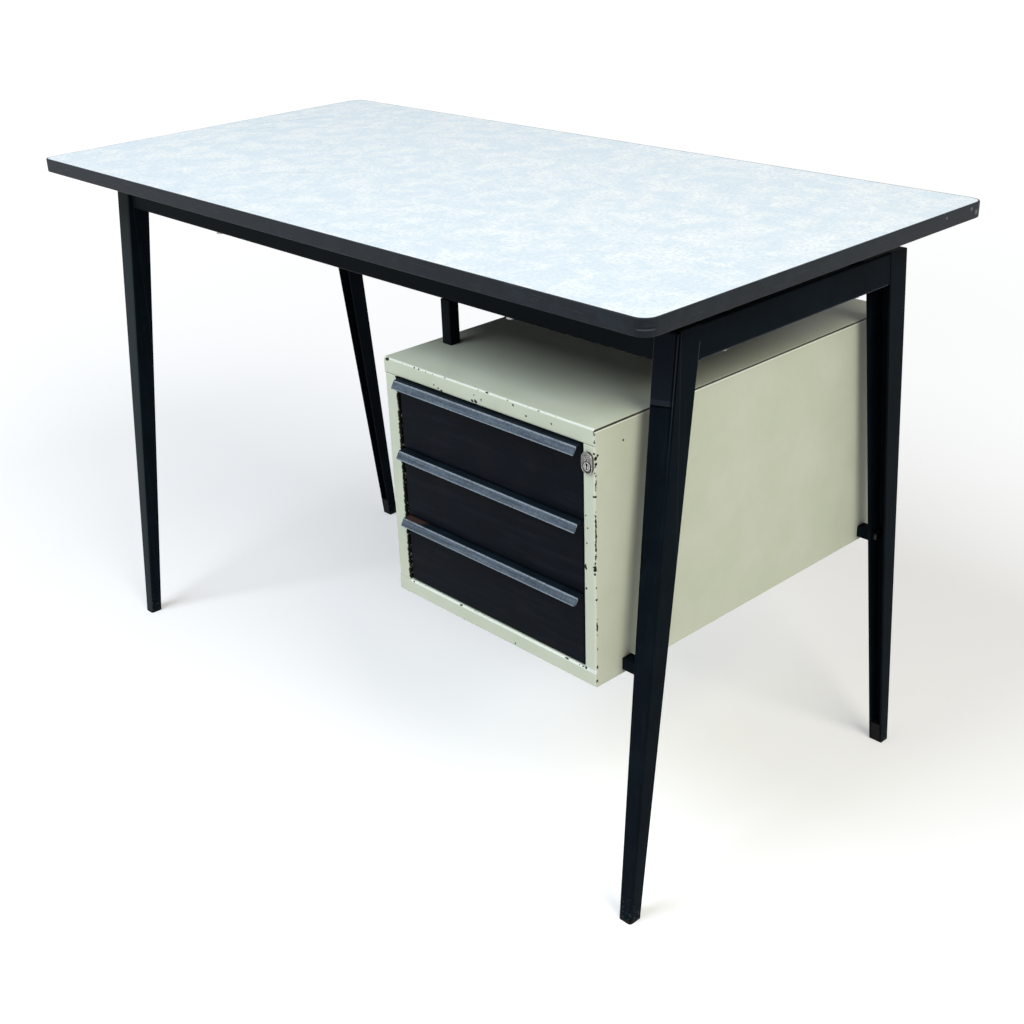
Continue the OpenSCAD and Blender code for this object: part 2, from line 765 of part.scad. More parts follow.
module lock_housing() {
    face_y = cab_y0 - lock_face_t;
    rim_w = 1.2;
    rim_step = lock_face_t / 3;
    color("#a9a79e") difference() {
        union() {
            lock_slab(lock_face_w, lock_face_h, cab_y0, lock_face_t - rim_step);
            lock_slab(lock_face_w - 2 * rim_w, lock_face_h - 2 * rim_w, cab_y0, lock_face_t);
            plug_cylinder(barrel_r, cab_y0 - eps, cab_y0 + barrel_l);
        }
        plug_cylinder(plug_r + plug_gap, face_y - eps, cab_y0 + barrel_l + eps);
    }
}

module lock_plug() {
    face_y = cab_y0 - lock_face_t - plug_proud;
    slot_d = 6;
    color("#8d8a80") difference() {
        plug_cylinder(plug_r, face_y, cab_y0 + barrel_l + cam_gap);
        translate([lock_x - key_slot_w / 2, face_y - eps, plug_z - key_slot_h / 2])
            cube([key_slot_w, slot_d, key_slot_h]);
    }
}

module lock_cam() {
    cam_y = cab_y0 + barrel_l + cam_gap;
    pin_end_y = lock_bar_y + lock_bar_t + cam_pin_past;
    color("#77787a") {
        plug_cylinder(cam_r, cam_y, cam_y + cam_t);
        translate([lock_x, pin_end_y, plug_z]) rotate([0, 45, 0]) translate([cam_pin_orbit, 0, 0])
            rotate([90, 0, 0]) cylinder(r = cam_pin_r, h = pin_end_y - cam_y - cam_t / 2);
    }
}

// Spring clip behind the stile: a plate on the barrel, with a foot at each end that bears on the sheet
module lock_clip() {
    foot_w = 9;
    foot_h = 2;
    plate_y = cab_y0 + sheet_t + lock_clip_t;
    color("#77787a") difference() {
        union() {
            translate([lock_x - lock_clip_w / 2, plate_y, plug_z - lock_clip_h / 2])
                cube([lock_clip_w, lock_clip_t, lock_clip_h]);
            for (z = [-lock_clip_h / 2, lock_clip_h / 2 - foot_h])
                translate([lock_x - foot_w / 2, cab_y0 + sheet_t, plug_z + z])
                    cube([foot_w, lock_clip_t + eps, foot_h]);
        }
        plug_cylinder(barrel_r + fit_gap / 2, cab_y0, plate_y + 2 * lock_clip_t);
    }
}

module lock_bar() {
    foot_z = drawer_z(DRAWERS - 1) + guide_up + guide_t + run_gap;
    head_z = plug_z + bar_top_past;
    slot_z = plug_z - bar_lift / 2;
    slot_h = 2 * (cam_pin_r + slot_gap);
    color("#6f7173") difference() {
        union() {
            translate([lock_x - lock_bar_w / 2, lock_bar_y, foot_z])
                cube([lock_bar_w, lock_bar_t, head_z - foot_z]);
            for (i = [0 : DRAWERS - 1])
                translate([lock_x - lock_bar_w / 2 - hook_reach, lock_bar_y, drawer_z(i) + hook_up])
                    cube([hook_reach + eps, lock_bar_t, hook_h]);
        }
        translate([lock_x + cam_pin_r / 2, lock_bar_y - eps, slot_z - slot_h / 2])
            cube([lock_bar_w, lock_bar_t + 2 * eps, slot_h]);
    }
}

// Bracket that wraps the locking bar on three sides and stands on the cabinet's side
module lock_bar_guide(floor_t) {
    reach = cab_x1 - sheet_t - lock_x + lock_bar_w / 2 + guide_gap + guide_t;
    depth = lock_bar_t + 2 * (guide_gap + guide_t);
    translate([cab_x1 - sheet_t - reach, lock_bar_y - guide_gap - guide_t, 0]) difference() {
        cube([reach, depth, guide_h]);
        translate([guide_t, guide_t, floor_t])
            cube([reach, depth - 2 * guide_t, guide_h - floor_t + eps]);
    }
}

module lock_bar_guides() {
    color("#77787a") {
        translate([0, 0, drawer_z(DRAWERS - 1) + guide_up]) lock_bar_guide(guide_t);
        translate([0, 0, drawer_z(0) + guide_up]) lock_bar_guide(-eps);
    }
}

desktop_board();
desktop_laminate();
desktop_backing();
desktop_edge_band();
desktop_inserts();
desktop_spacers();
desktop_screws();
leg_front_left();
leg_front_right();
leg_back_left();
leg_back_right();
foot_glides();
rail_front();
rail_back();
rail_left();
rail_right();
hanger_post_front();
hanger_post_back();
hanger_bolts();
leg_spacer_bars();
leg_spacer_bolts();
leg_spacer_nuts();
cabinet_top();
cabinet_bottom();
cabinet_side_left();
cabinet_side_right();
cabinet_back();
cabinet_runners_left();
cabinet_runners_right();
cabinet_runner_pads();
drawer_top_front();
drawer_top_handle();
drawer_top_tray_bottom();
drawer_top_tray_sides();
drawer_top_tray_ends();
drawer_top_slide_bars();
drawer_top_glides();
drawer_middle_front();
drawer_middle_handle();
drawer_middle_tray_bottom();
drawer_middle_tray_sides();
drawer_middle_tray_ends();
drawer_middle_slide_bars();
drawer_middle_glides();
drawer_bottom_front();
drawer_bottom_handle();
drawer_bottom_tray_bottom();
drawer_bottom_tray_sides();
drawer_bottom_tray_ends();
drawer_bottom_slide_bars();
drawer_bottom_glides();
lock_housing();
lock_plug();
lock_cam();
lock_clip();
lock_bar();
lock_bar_guides();
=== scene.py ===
import math

import bpy
from mathutils import Matrix, Vector


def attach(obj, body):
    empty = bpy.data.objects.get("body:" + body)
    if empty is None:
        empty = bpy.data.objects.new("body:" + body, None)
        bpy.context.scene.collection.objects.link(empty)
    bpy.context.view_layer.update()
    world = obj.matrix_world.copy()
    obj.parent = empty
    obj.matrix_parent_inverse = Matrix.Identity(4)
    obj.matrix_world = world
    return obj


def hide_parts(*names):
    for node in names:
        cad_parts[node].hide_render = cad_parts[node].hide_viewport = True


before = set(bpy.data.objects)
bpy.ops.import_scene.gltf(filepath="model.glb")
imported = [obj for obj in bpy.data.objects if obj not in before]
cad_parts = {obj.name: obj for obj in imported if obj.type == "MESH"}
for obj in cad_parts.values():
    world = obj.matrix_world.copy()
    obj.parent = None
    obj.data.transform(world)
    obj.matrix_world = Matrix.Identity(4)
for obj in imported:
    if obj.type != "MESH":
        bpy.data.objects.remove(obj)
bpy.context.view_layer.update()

# Desktop core: a chipboard slab, sawn square and drilled from below for eight threaded
# inserts of zinc-plated steel. Both are hidden once the laminate and the band are on.
MM = 0.001


def linear(hex_colour):
    """The linear colour of an sRGB hex value, with alpha."""
    parts = [int(hex_colour[i : i + 2], 16) / 255 for i in (1, 3, 5)]
    return [c / 12.92 if c <= 0.04045 else ((c + 0.055) / 1.055) ** 2.4 for c in parts] + [1.0]


def add_node(tree, kind, settings, links):
    """Adds one shader node with its settings and its links, and returns its outputs."""
    made = tree.nodes.new("ShaderNode" + kind)
    for name, value in settings.items():
        if isinstance(name, str) and hasattr(made, name):
            setattr(made, name, value)
        else:
            made.inputs[name].default_value = value
    for name, source in links.items():
        tree.links.new(source, made.inputs[name])
    return made.outputs


def new_finish(name):
    """An empty material, its node tree, its Principled shader and its Object coordinates."""
    material = bpy.data.materials.new(name)
    material.use_nodes = True
    tree = material.node_tree
    shader = tree.nodes["Principled BSDF"]
    return material, tree, shader, add_node(tree, "TexCoord", {}, {})["Object"]


def finish_nodes(material, *nodes):
    """Gives CAD nodes this material in each of their slots."""
    for name in nodes:
        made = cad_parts[name]
        if not made.material_slots:
            made.data.materials.append(material)
        for held in made.material_slots:
            held.material = material


# Chipboard: pressed wood flakes of 2 to 6 mm in resin, matt, with darker and lighter flakes
chipboard, tree, shader, place = new_finish("chipboard_pressed_flakes")
flakes = add_node(tree, "TexVoronoi", {"Scale": 1 / (4 * MM)}, {"Vector": place})
shade = add_node(
    tree,
    "Mix",
    {"data_type": "RGBA", 6: linear("#b18d5f"), 7: linear("#d8bd8f")},
    {0: flakes["Color"]},
)
tree.links.new(shade[2], shader.inputs["Base Color"])
shader.inputs["Roughness"].default_value = 0.85
finish_nodes(chipboard, "desktop_board")


def zinc(name, hue, dull_hue):
    """Zinc-plated steel: bright grey, clouded in patches of 9 mm that also dull its gloss."""
    material, tree, shader, place = new_finish(name)
    cloud = add_node(tree, "TexNoise", {"Scale": 1 / (9 * MM), "Detail": 4.0}, {"Vector": place})[0]
    tone = add_node(
        tree, "Mix", {"data_type": "RGBA", 6: linear(hue), 7: linear(dull_hue)}, {0: cloud}
    )
    rough = add_node(tree, "MapRange", {"To Min": 0.28, "To Max": 0.5}, {"Value": cloud})[0]
    tree.links.new(tone[2], shader.inputs["Base Color"])
    tree.links.new(rough, shader.inputs["Roughness"])
    shader.inputs["Metallic"].default_value = 1.0
    return material


zinc_fastener = zinc("zinc_plated_steel_fasteners", "#b9bab6", "#8f908c")
finish_nodes(zinc_fastener, "desktop_inserts")

# Desktop laminate: a 1.2 mm sheet of pale high-pressure laminate, glued to the core's face.
# Its printed paper shows short blue-grey fibres over soft clouds, with arcs left by wiping.
laminate, tree, shader, place = new_finish("high_pressure_laminate_pale_fibre")
# fibres of some 4.5 mm, blue-grey where dense and near white where sparse, over clouds of 34 mm
fibre = add_node(
    tree,
    "TexNoise",
    {"Scale": 1 / (4.5 * MM), "Detail": 4.0, "Roughness": 0.6, "Distortion": 0.9},
    {"Vector": place},
)[0]
thread = add_node(tree, "MapRange", {"From Min": 0.42, "From Max": 0.66}, {"Value": fibre})[0]
pale_fleck = add_node(tree, "MapRange", {"From Min": 0.42, "From Max": 0.3}, {"Value": fibre})[0]
cloud = add_node(
    tree,
    "TexNoise",
    {"Scale": 1 / (34 * MM), "Detail": 3.0, "Roughness": 0.5, "Distortion": 0.5},
    {"Vector": place},
)[0]
haze = add_node(tree, "MapRange", {"From Min": 0.38, "From Max": 0.64}, {"Value": cloud})[0]
ground = add_node(
    tree, "Mix", {"data_type": "RGBA", 6: linear("#e3eef5"), 7: linear("#fafdfc")}, {0: haze}
)
thread = add_node(tree, "Math", {"operation": "MULTIPLY", 1: 0.85}, {0: thread})[0]
tone = add_node(tree, "Mix", {"data_type": "RGBA", 7: linear("#d1e1ec")}, {0: thread, 6: ground[2]})
pale_fleck = add_node(tree, "Math", {"operation": "MULTIPLY", 1: 0.5}, {0: pale_fleck})[0]
tone = add_node(
    tree, "Mix", {"data_type": "RGBA", 7: linear("#f5fbfc")}, {0: pale_fleck, 6: tone[2]}
)
# wiping marks, in millimetres: thin arcs round a point, each shown only near a middle point
TOP_Z = 770 * MM
for centre, radius, middle, reach in (
    ((-246, -31), 318, (-532, 100), 95),
    ((-322, -73), 220, (-520, 12), 80),
    ((-322, -73), 205, (-440, 92), 45),
    ((60, -420), 395, (-210, -132), 60),
):
    sweep = add_node(
        tree,
        "VectorMath",
        {"operation": "DISTANCE", 1: (centre[0] * MM, centre[1] * MM, TOP_Z)},
        {0: place},
    )["Value"]
    off = add_node(
        tree, "Math", {"operation": "COMPARE", 1: radius * MM, 2: 1.1 * MM}, {0: sweep}
    )[0]
    near = add_node(
        tree,
        "VectorMath",
        {"operation": "DISTANCE", 1: (middle[0] * MM, middle[1] * MM, TOP_Z)},
        {0: place},
    )["Value"]
    fade = add_node(
        tree,
        "MapRange",
        {"From Min": reach * MM, "From Max": 0.3 * reach * MM, "To Max": 0.5},
        {"Value": near},
    )[0]
    arc = add_node(tree, "Math", {"operation": "MULTIPLY"}, {0: off, 1: fade})[0]
    tone = add_node(tree, "Mix", {"data_type": "RGBA", 7: linear("#93a9ba")}, {0: arc, 6: tone[2]})
tree.links.new(tone[2], shader.inputs["Base Color"])
gloss = add_node(tree, "MapRange", {"To Min": 0.36, "To Max": 0.5}, {"Value": fibre})[0]
tree.links.new(gloss, shader.inputs["Roughness"])
relief = add_node(tree, "Bump", {"Strength": 0.15, "Distance": 0.1 * MM}, {"Height": fibre})[0]
tree.links.new(relief, shader.inputs["Normal"])
shader.inputs["Specular IOR Level"].default_value = 0.25
finish_nodes(laminate, "desktop_laminate")

# Edge band: a black plastic strip, 2.5 mm thick, glued round the whole desktop with its long
# edges rounded over. It is scuffed, and has a dent at the corner over the right front leg,
# drawn only as a painted shade line and a painted highlight.
TOP_W, TOP_D, TOP_T = 1200 * MM, 600 * MM, 19 * MM
CORNER_R, BAND_T, ROUND_OVER = 18 * MM, 2.5 * MM, 1.3 * MM
# a point this close to a place counts as there
NEAR = 0.01 * MM


def deselect():
    """Leaves nothing selected, because an operator acts on all that is."""
    bpy.ops.object.select_all(action="DESELECT")


def start(name, size, place):
    """A plane primitive of this size at this place, named, alone selected and ready to shape."""
    deselect()
    bpy.ops.mesh.primitive_plane_add(size=1, location=place)
    made = bpy.context.object
    made.name = made.data.name = name
    made.scale = (size[0], size[1], 1)
    bpy.ops.object.transform_apply(location=True, rotation=True, scale=True)
    return made


def select(made, kind, test):
    """Selects, in edit mode, the vertices, edges or faces that pass the test."""
    bpy.ops.object.mode_set(mode="OBJECT")
    mesh = made.data
    for group in (mesh.vertices, mesh.edges, mesh.polygons):
        group.foreach_set("select", [False] * len(group))
    if kind == "VERT":
        for v in mesh.vertices:
            v.select = test(v.co)
    elif kind == "EDGE":
        for e in mesh.edges:
            ends = [mesh.vertices[i].co for i in e.vertices]
            e.select = all(test(p) for p in ends)
    else:
        for f in mesh.polygons:
            f.select = test(f.center, f.normal)
    bpy.ops.object.mode_set(mode="EDIT")
    bpy.ops.mesh.select_mode(type=kind)


def close_up(made, body, slot, material, *nodes):
    """Ends a piece: flats kept flat, its finish, its body, and the CAD nodes it stands for."""
    if bpy.context.object and bpy.context.object.mode != "OBJECT":
        bpy.ops.object.mode_set(mode="OBJECT")
    made.data.materials.clear()
    made.data.materials.append(material)
    deselect()
    made.select_set(True)
    bpy.context.view_layer.objects.active = made
    bpy.ops.object.shade_smooth_by_angle(angle=math.radians(35))
    flats = made.modifiers.new("flat_faces_lead", "WEIGHTED_NORMAL")
    flats.keep_sharp = True
    bpy.ops.object.modifier_apply(modifier=flats.name)
    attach(made, body)
    if nodes:
        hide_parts(*nodes)


band = start("edge_band_strip", (TOP_W, TOP_D), (0, 0, TOP_Z - TOP_T))
bpy.ops.object.mode_set(mode="EDIT")
bpy.ops.mesh.select_all(action="SELECT")
bpy.ops.mesh.bevel(affect="VERTICES", offset=CORNER_R, offset_type="OFFSET", segments=10)
bpy.ops.mesh.select_all(action="SELECT")
bpy.ops.mesh.inset(thickness=BAND_T)
select(band, "FACE", lambda c, n: abs(c.x) < 0.3 * TOP_W and abs(c.y) < 0.3 * TOP_D)
bpy.ops.mesh.delete(type="FACE")
bpy.ops.mesh.select_all(action="SELECT")
bpy.ops.mesh.extrude_region_move(TRANSFORM_OT_translate={"value": (0, 0, TOP_T)})
bpy.ops.mesh.select_all(action="SELECT")
bpy.ops.mesh.normals_make_consistent(inside=False)


def on_rim(p):
    """On the band's outer outline, which is straight sides joined by quarter rounds."""
    dx, dy = abs(p.x) - (TOP_W / 2 - CORNER_R), abs(p.y) - (TOP_D / 2 - CORNER_R)
    off = math.hypot(max(dx, 0), max(dy, 0)) if dx > 0 and dy > 0 else max(dx, dy)
    return off > CORNER_R - BAND_T / 2


for z in (TOP_Z, TOP_Z - TOP_T):
    select(band, "EDGE", lambda p: abs(p.z - z) < NEAR and on_rim(p))
    bpy.ops.mesh.bevel(offset=ROUND_OVER, segments=4, affect="EDGES")

# black plastic edging: an even satin, scuffed paler by knees and chairs along its faces
black_band, tree, shader, place = new_finish("satin_black_plastic_edging")
scuff = add_node(
    tree, "TexNoise", {"Scale": 1 / (25 * MM), "Detail": 6.0, "Roughness": 0.65}, {"Vector": place}
)[0]
worn = add_node(tree, "MapRange", {"From Min": 0.42, "From Max": 0.75}, {"Value": scuff})[0]
tone = add_node(
    tree, "Mix", {"data_type": "RGBA", 6: linear("#10161d"), 7: linear("#1f262e")}, {0: worn}
)
# fine scratches along the band, some 40 mm long, in rows about 1.2 mm apart
drawn = add_node(
    tree,
    "TexNoise",
    {"Scale": 1 / (1.2 * MM), "Detail": 2.0},
    {"Vector": add_node(tree, "Mapping", {"Scale": (0.03, 0.03, 1.0)}, {"Vector": place})[0]},
)[0]
scratch = add_node(
    tree, "MapRange", {"From Min": 0.66, "From Max": 0.72, "To Max": 0.22}, {"Value": drawn}
)[0]
tone = add_node(
    tree, "Mix", {"data_type": "RGBA", 7: linear("#535b63")}, {0: scratch, 6: tone[2]}
)
# the dent: a painted shade line for its crease round the corner, 10 mm below the top, and a
# painted highlight for its raised lip under it
DENT = (598 * MM, -298 * MM, 759.5 * MM)
height = add_node(tree, "SeparateXYZ", {}, {0: place})["Z"]
corner = add_node(tree, "VectorMath", {"operation": "DISTANCE", 1: DENT}, {0: place})["Value"]
round_corner = add_node(
    tree, "MapRange", {"From Min": 13 * MM, "From Max": 9 * MM}, {"Value": corner}
)[0]
for level, hue, strength in ((760.3, "#050608", 0.7), (758.6, "#59626b", 0.4)):
    line = add_node(
        tree, "Math", {"operation": "COMPARE", 1: level * MM, 2: 0.8 * MM}, {0: height}
    )[0]
    line = add_node(tree, "Math", {"operation": "MULTIPLY"}, {0: line, 1: round_corner})[0]
    line = add_node(tree, "Math", {"operation": "MULTIPLY", 1: strength}, {0: line})[0]
    tone = add_node(tree, "Mix", {"data_type": "RGBA", 7: linear(hue)}, {0: line, 6: tone[2]})
# knocks at the right rear, rubbed down to grey: y, z and radius in millimetres
for y, z, size in ((269.0, 764.5, 3.0), (280.0, 759.0, 4.0), (215.5, 764.2, 2.2)):
    knock = (TOP_W / 2, y * MM, z * MM)
    off = add_node(tree, "VectorMath", {"operation": "DISTANCE", 1: knock}, {0: place})["Value"]
    rubbed = add_node(
        tree,
        "MapRange",
        {"From Min": size * MM, "From Max": 0.3 * size * MM, "To Max": 0.5},
        {"Value": off},
    )[0]
    tone = add_node(
        tree, "Mix", {"data_type": "RGBA", 7: linear("#8b9299")}, {0: rubbed, 6: tone[2]}
    )
tree.links.new(tone[2], shader.inputs["Base Color"])
dull = add_node(tree, "MapRange", {"To Min": 0.36, "To Max": 0.55}, {"Value": scuff})[0]
tree.links.new(dull, shader.inputs["Roughness"])
shader.inputs["Specular IOR Level"].default_value = 0.15
close_up(band, "desk", "edge_band", black_band, "desktop_edge_band")
finish_nodes(black_band, "desktop_backing")


# Frame: four legs folded from 3 mm sheet into tapered open channels, welded to rails of
# rectangular tube. All of it is stove enamelled in satin black, and scratched by use.
def enamel(name, hue, faded_hue, roughness, shine):
    """Stove enamel on sheet steel: satin, with orange peel of 1.5 mm and slow fading."""
    material, tree, shader, place = new_finish(name)
    fade = add_node(
        tree,
        "TexNoise",
        {"Scale": 1 / (70 * MM), "Detail": 5.0, "Roughness": 0.6},
        {"Vector": place},
    )[0]
    spread = add_node(tree, "MapRange", {"From Min": 0.36, "From Max": 0.68}, {"Value": fade})[0]
    tone = add_node(
        tree, "Mix", {"data_type": "RGBA", 6: linear(hue), 7: linear(faded_hue)}, {0: spread}
    )
    peel = add_node(
        tree, "TexNoise", {"Scale": 1 / (1.5 * MM), "Detail": 1.0}, {"Vector": place}
    )[0]
    relief = add_node(tree, "Bump", {"Strength": 0.12, "Distance": 0.05 * MM}, {"Height": peel})[0]
    rough = add_node(
        tree, "MapRange", {"To Min": roughness - 0.06, "To Max": roughness + 0.08}, {"Value": fade}
    )[0]
    tree.links.new(tone[2], shader.inputs["Base Color"])
    tree.links.new(relief, shader.inputs["Normal"])
    tree.links.new(rough, shader.inputs["Roughness"])
    shader.inputs["Specular IOR Level"].default_value = shine
    return material, tree, shader, place, tone


black_enamel, tree, shader, place, tone = enamel(
    "stove_enamel_satin_black", "#0b1218", "#111920", 0.36, 0.01
)
parts = add_node(tree, "SeparateXYZ", {}, {0: place})
# smears and scratches that run down the legs, and scuffs that thicken towards the feet
down = add_node(
    tree,
    "TexNoise",
    {"Scale": 1 / (5 * MM), "Detail": 4.0, "Roughness": 0.6},
    {"Vector": add_node(tree, "Mapping", {"Scale": (1.0, 1.0, 0.05)}, {"Vector": place})[0]},
)[0]
below_rails = add_node(
    tree, "MapRange", {"From Min": 690 * MM, "From Max": 660 * MM}, {"Value": parts["Z"]}
)[0]
smear = add_node(
    tree, "MapRange", {"From Min": 0.55, "From Max": 0.78, "To Max": 0.4}, {"Value": down}
)[0]
smear = add_node(tree, "Math", {"operation": "MULTIPLY"}, {0: smear, 1: below_rails})[0]
tone = add_node(tree, "Mix", {"data_type": "RGBA", 7: linear("#20262c")}, {0: smear, 6: tone[2]})
grit = add_node(
    tree, "TexNoise", {"Scale": 1 / (4 * MM), "Detail": 5.0, "Roughness": 0.7}, {"Vector": place}
)[0]
low = add_node(
    tree,
    "MapRange",
    {"From Min": 90 * MM, "From Max": 0.0, "To Min": -0.1, "To Max": 0.12},
    {"Value": parts["Z"]},
)[0]
kicked = add_node(tree, "Math", {"operation": "ADD"}, {0: grit, 1: low})[0]
kicked = add_node(
    tree, "MapRange", {"From Min": 0.64, "From Max": 0.7, "To Max": 0.7}, {"Value": kicked}
)[0]
tone = add_node(tree, "Mix", {"data_type": "RGBA", 7: linear("#43464a")}, {0: kicked, 6: tone[2]})
# the front legs' webs stand at WEB_Y on the floor and lean back by WEB_LEAN, beyond WEB_X from
# the middle: a pale painted sheen all down the left one
WEB_X, WEB_Y, WEB_LEAN = 523.5 * MM, -273 * MM, 0.0922
lean = add_node(
    tree, "Math", {"operation": "MULTIPLY_ADD", 1: -WEB_LEAN, 2: -WEB_Y}, {0: parts["Z"]}
)[0]
forward = add_node(tree, "Math", {"operation": "ADD"}, {0: parts["Y"], 1: lean})[0]
web = add_node(tree, "Math", {"operation": "COMPARE", 1: 0.0, 2: 1.2 * MM}, {0: forward})[0]
left = add_node(tree, "Math", {"operation": "LESS_THAN", 1: -WEB_X}, {0: parts["X"]})[0]
left_web_sheen = add_node(tree, "Math", {"operation": "MULTIPLY"}, {0: web, 1: left})[0]
left_web_sheen = add_node(tree, "Math", {"operation": "MULTIPLY", 1: 0.8}, {0: left_web_sheen})[0]
tone = add_node(tree, "Mix", {"data_type": "RGBA", 7: linear("#373d3f")}, {0: left_web_sheen, 6: tone[2]})
# the front rail's face: a fainter pale painted sheen
RAIL_FACE_Y = -202 * MM
rail_face = add_node(
    tree, "Math", {"operation": "COMPARE", 1: RAIL_FACE_Y, 2: 0.8 * MM}, {0: parts["Y"]}
)[0]
rail_face = add_node(tree, "Math", {"operation": "MULTIPLY", 1: 0.3}, {0: rail_face})[0]
tone = add_node(
    tree, "Mix", {"data_type": "RGBA", 7: linear("#2c3135")}, {0: rail_face, 6: tone[2]}
)
# the right web: a painted reflection, lighter above 643 mm and ended by a light step and a dark
# line, which tilt
STEP_X, STEP_TILT = 526.67 * MM, 0.15
right = add_node(tree, "Math", {"operation": "GREATER_THAN", 1: WEB_X}, {0: parts["X"]})[0]
right_web = add_node(tree, "Math", {"operation": "MULTIPLY"}, {0: web, 1: right})[0]
tilt = add_node(
    tree,
    "Math",
    {"operation": "MULTIPLY_ADD", 1: -STEP_TILT, 2: STEP_TILT * STEP_X},
    {0: parts["X"]},
)[0]
tilted = add_node(tree, "Math", {"operation": "ADD"}, {0: parts["Z"], 1: tilt})[0]
for low_end, high_end, hue, strength in (
    (643.0, 760.0, "#2b2e3a", 0.3),
    (643.0, 649.0, "#343b42", 0.4),
    (640.8, 643.0, "#020304", 0.9),
):
    level, half = (low_end + high_end) / 2 * MM, (high_end - low_end) / 2 * MM
    step = add_node(tree, "Math", {"operation": "COMPARE", 1: level, 2: half}, {0: tilted})[0]
    step = add_node(tree, "Math", {"operation": "MULTIPLY"}, {0: step, 1: right_web})[0]
    step = add_node(tree, "Math", {"operation": "MULTIPLY", 1: strength}, {0: step})[0]
    tone = add_node(tree, "Mix", {"data_type": "RGBA", 7: linear(hue)}, {0: step, 6: tone[2]})
# its folds, with x on the floor and its change with height: the outer bend gets a painted dark
# reflection with a thin painted highlight near the top, the inner one a pale painted highlight;
# marks are middle, half width, hue and strength
upper = add_node(
    tree, "MapRange", {"From Min": 540 * MM, "From Max": 660 * MM}, {"Value": parts["Z"]}
)[0]
for bottom_x, narrowing, marks in (
    (560 * MM, 0.0, ((2.75, 0.9, "#010203", 0.85), (1.6, 0.25, "#2c333b", 0.6))),
    (540.5 * MM, -0.02065, ((1.4, 1.1, "#666c70", 0.6),)),
):
    edge = add_node(
        tree, "Math", {"operation": "MULTIPLY_ADD", 1: narrowing, 2: bottom_x}, {0: parts["Z"]}
    )[0]
    beside = add_node(tree, "Math", {"operation": "SUBTRACT"}, {0: parts["X"], 1: edge})[0]
    fold = add_node(tree, "CombineXYZ", {}, {0: beside, 1: forward})[0]
    fold = add_node(tree, "VectorMath", {"operation": "LENGTH"}, {0: fold})["Value"]
    for middle, half, hue, strength in marks:
        line = add_node(
            tree, "Math", {"operation": "COMPARE", 1: middle * MM, 2: half * MM}, {0: fold}
        )[0]
        line = add_node(tree, "Math", {"operation": "MULTIPLY"}, {0: line, 1: upper})[0]
        line = add_node(tree, "Math", {"operation": "MULTIPLY", 1: strength}, {0: line})[0]
        tone = add_node(tree, "Mix", {"data_type": "RGBA", 7: linear(hue)}, {0: line, 6: tone[2]})
# the side rails: a painted highlight along the lower edge, and a thin pale line along the front
# leg's back edge at rail height, which stands at BACK_EDGE_Y on the floor and leans by
# BACK_EDGE_LEAN
RAIL_UNDER_Z, RAIL_MIDDLE_Z, RAIL_HALF_H = 687.8 * MM, 697.5 * MM, 11 * MM
BACK_EDGE_Y, BACK_EDGE_LEAN = -255 * MM, 0.117
between = add_node(
    tree, "Math", {"operation": "COMPARE", 1: 0.0, 2: 170 * MM}, {0: parts["Y"]}
)[0]
under = add_node(
    tree, "Math", {"operation": "COMPARE", 1: RAIL_UNDER_Z, 2: 1.0 * MM}, {0: parts["Z"]}
)[0]
under = add_node(tree, "Math", {"operation": "MULTIPLY"}, {0: under, 1: between})[0]
back_lean = add_node(
    tree,
    "Math",
    {"operation": "MULTIPLY_ADD", 1: -BACK_EDGE_LEAN, 2: -BACK_EDGE_Y},
    {0: parts["Z"]},
)[0]
weld = add_node(tree, "Math", {"operation": "ADD"}, {0: parts["Y"], 1: back_lean})[0]
weld = add_node(tree, "Math", {"operation": "COMPARE", 1: 0.0, 2: 0.8 * MM}, {0: weld})[0]
at_rail = add_node(
    tree, "Math", {"operation": "COMPARE", 1: RAIL_MIDDLE_Z, 2: RAIL_HALF_H}, {0: parts["Z"]}
)[0]
weld = add_node(tree, "Math", {"operation": "MULTIPLY"}, {0: weld, 1: at_rail})[0]
for mark in (under, weld):
    mark = add_node(tree, "Math", {"operation": "MULTIPLY", 1: 0.6}, {0: mark})[0]
    tone = add_node(tree, "Mix", {"data_type": "RGBA", 7: linear("#4d535a")}, {0: mark, 6: tone[2]})
tree.links.new(tone[2], shader.inputs["Base Color"])


def eased(node, body, slot, material, width, weld=0.002 * MM):
    """A merged copy of a CAD node, with its edges eased as by deburring; it replaces the node."""
    made = bpy.data.objects.new(node + "_eased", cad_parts[node].data.copy())
    bpy.context.scene.collection.objects.link(made)
    deselect()
    made.select_set(True)
    bpy.context.view_layer.objects.active = made
    bpy.ops.object.mode_set(mode="EDIT")
    bpy.ops.mesh.select_all(action="SELECT")
    bpy.ops.mesh.remove_doubles(threshold=weld)
    bpy.ops.mesh.dissolve_limited(angle_limit=math.radians(0.5))
    bpy.ops.object.mode_set(mode="OBJECT")
    ease = made.modifiers.new("eased_edges", "BEVEL")
    ease.width, ease.segments = width, 2
    ease.limit_method, ease.angle_limit = "ANGLE", math.radians(40)
    ease.use_clamp_overlap = False
    bpy.ops.object.modifier_apply(modifier=ease.name)
    close_up(made, body, slot, material, node)
    return made


for side in ("front_left", "front_right", "back_left", "back_right"):
    eased("leg_" + side, "desk", "frame_black", black_enamel, 0.3 * MM, 0.05 * MM)
for side in ("front", "back", "left", "right"):
    eased("rail_" + side, "desk", "frame_black", black_enamel, 0.35 * MM)

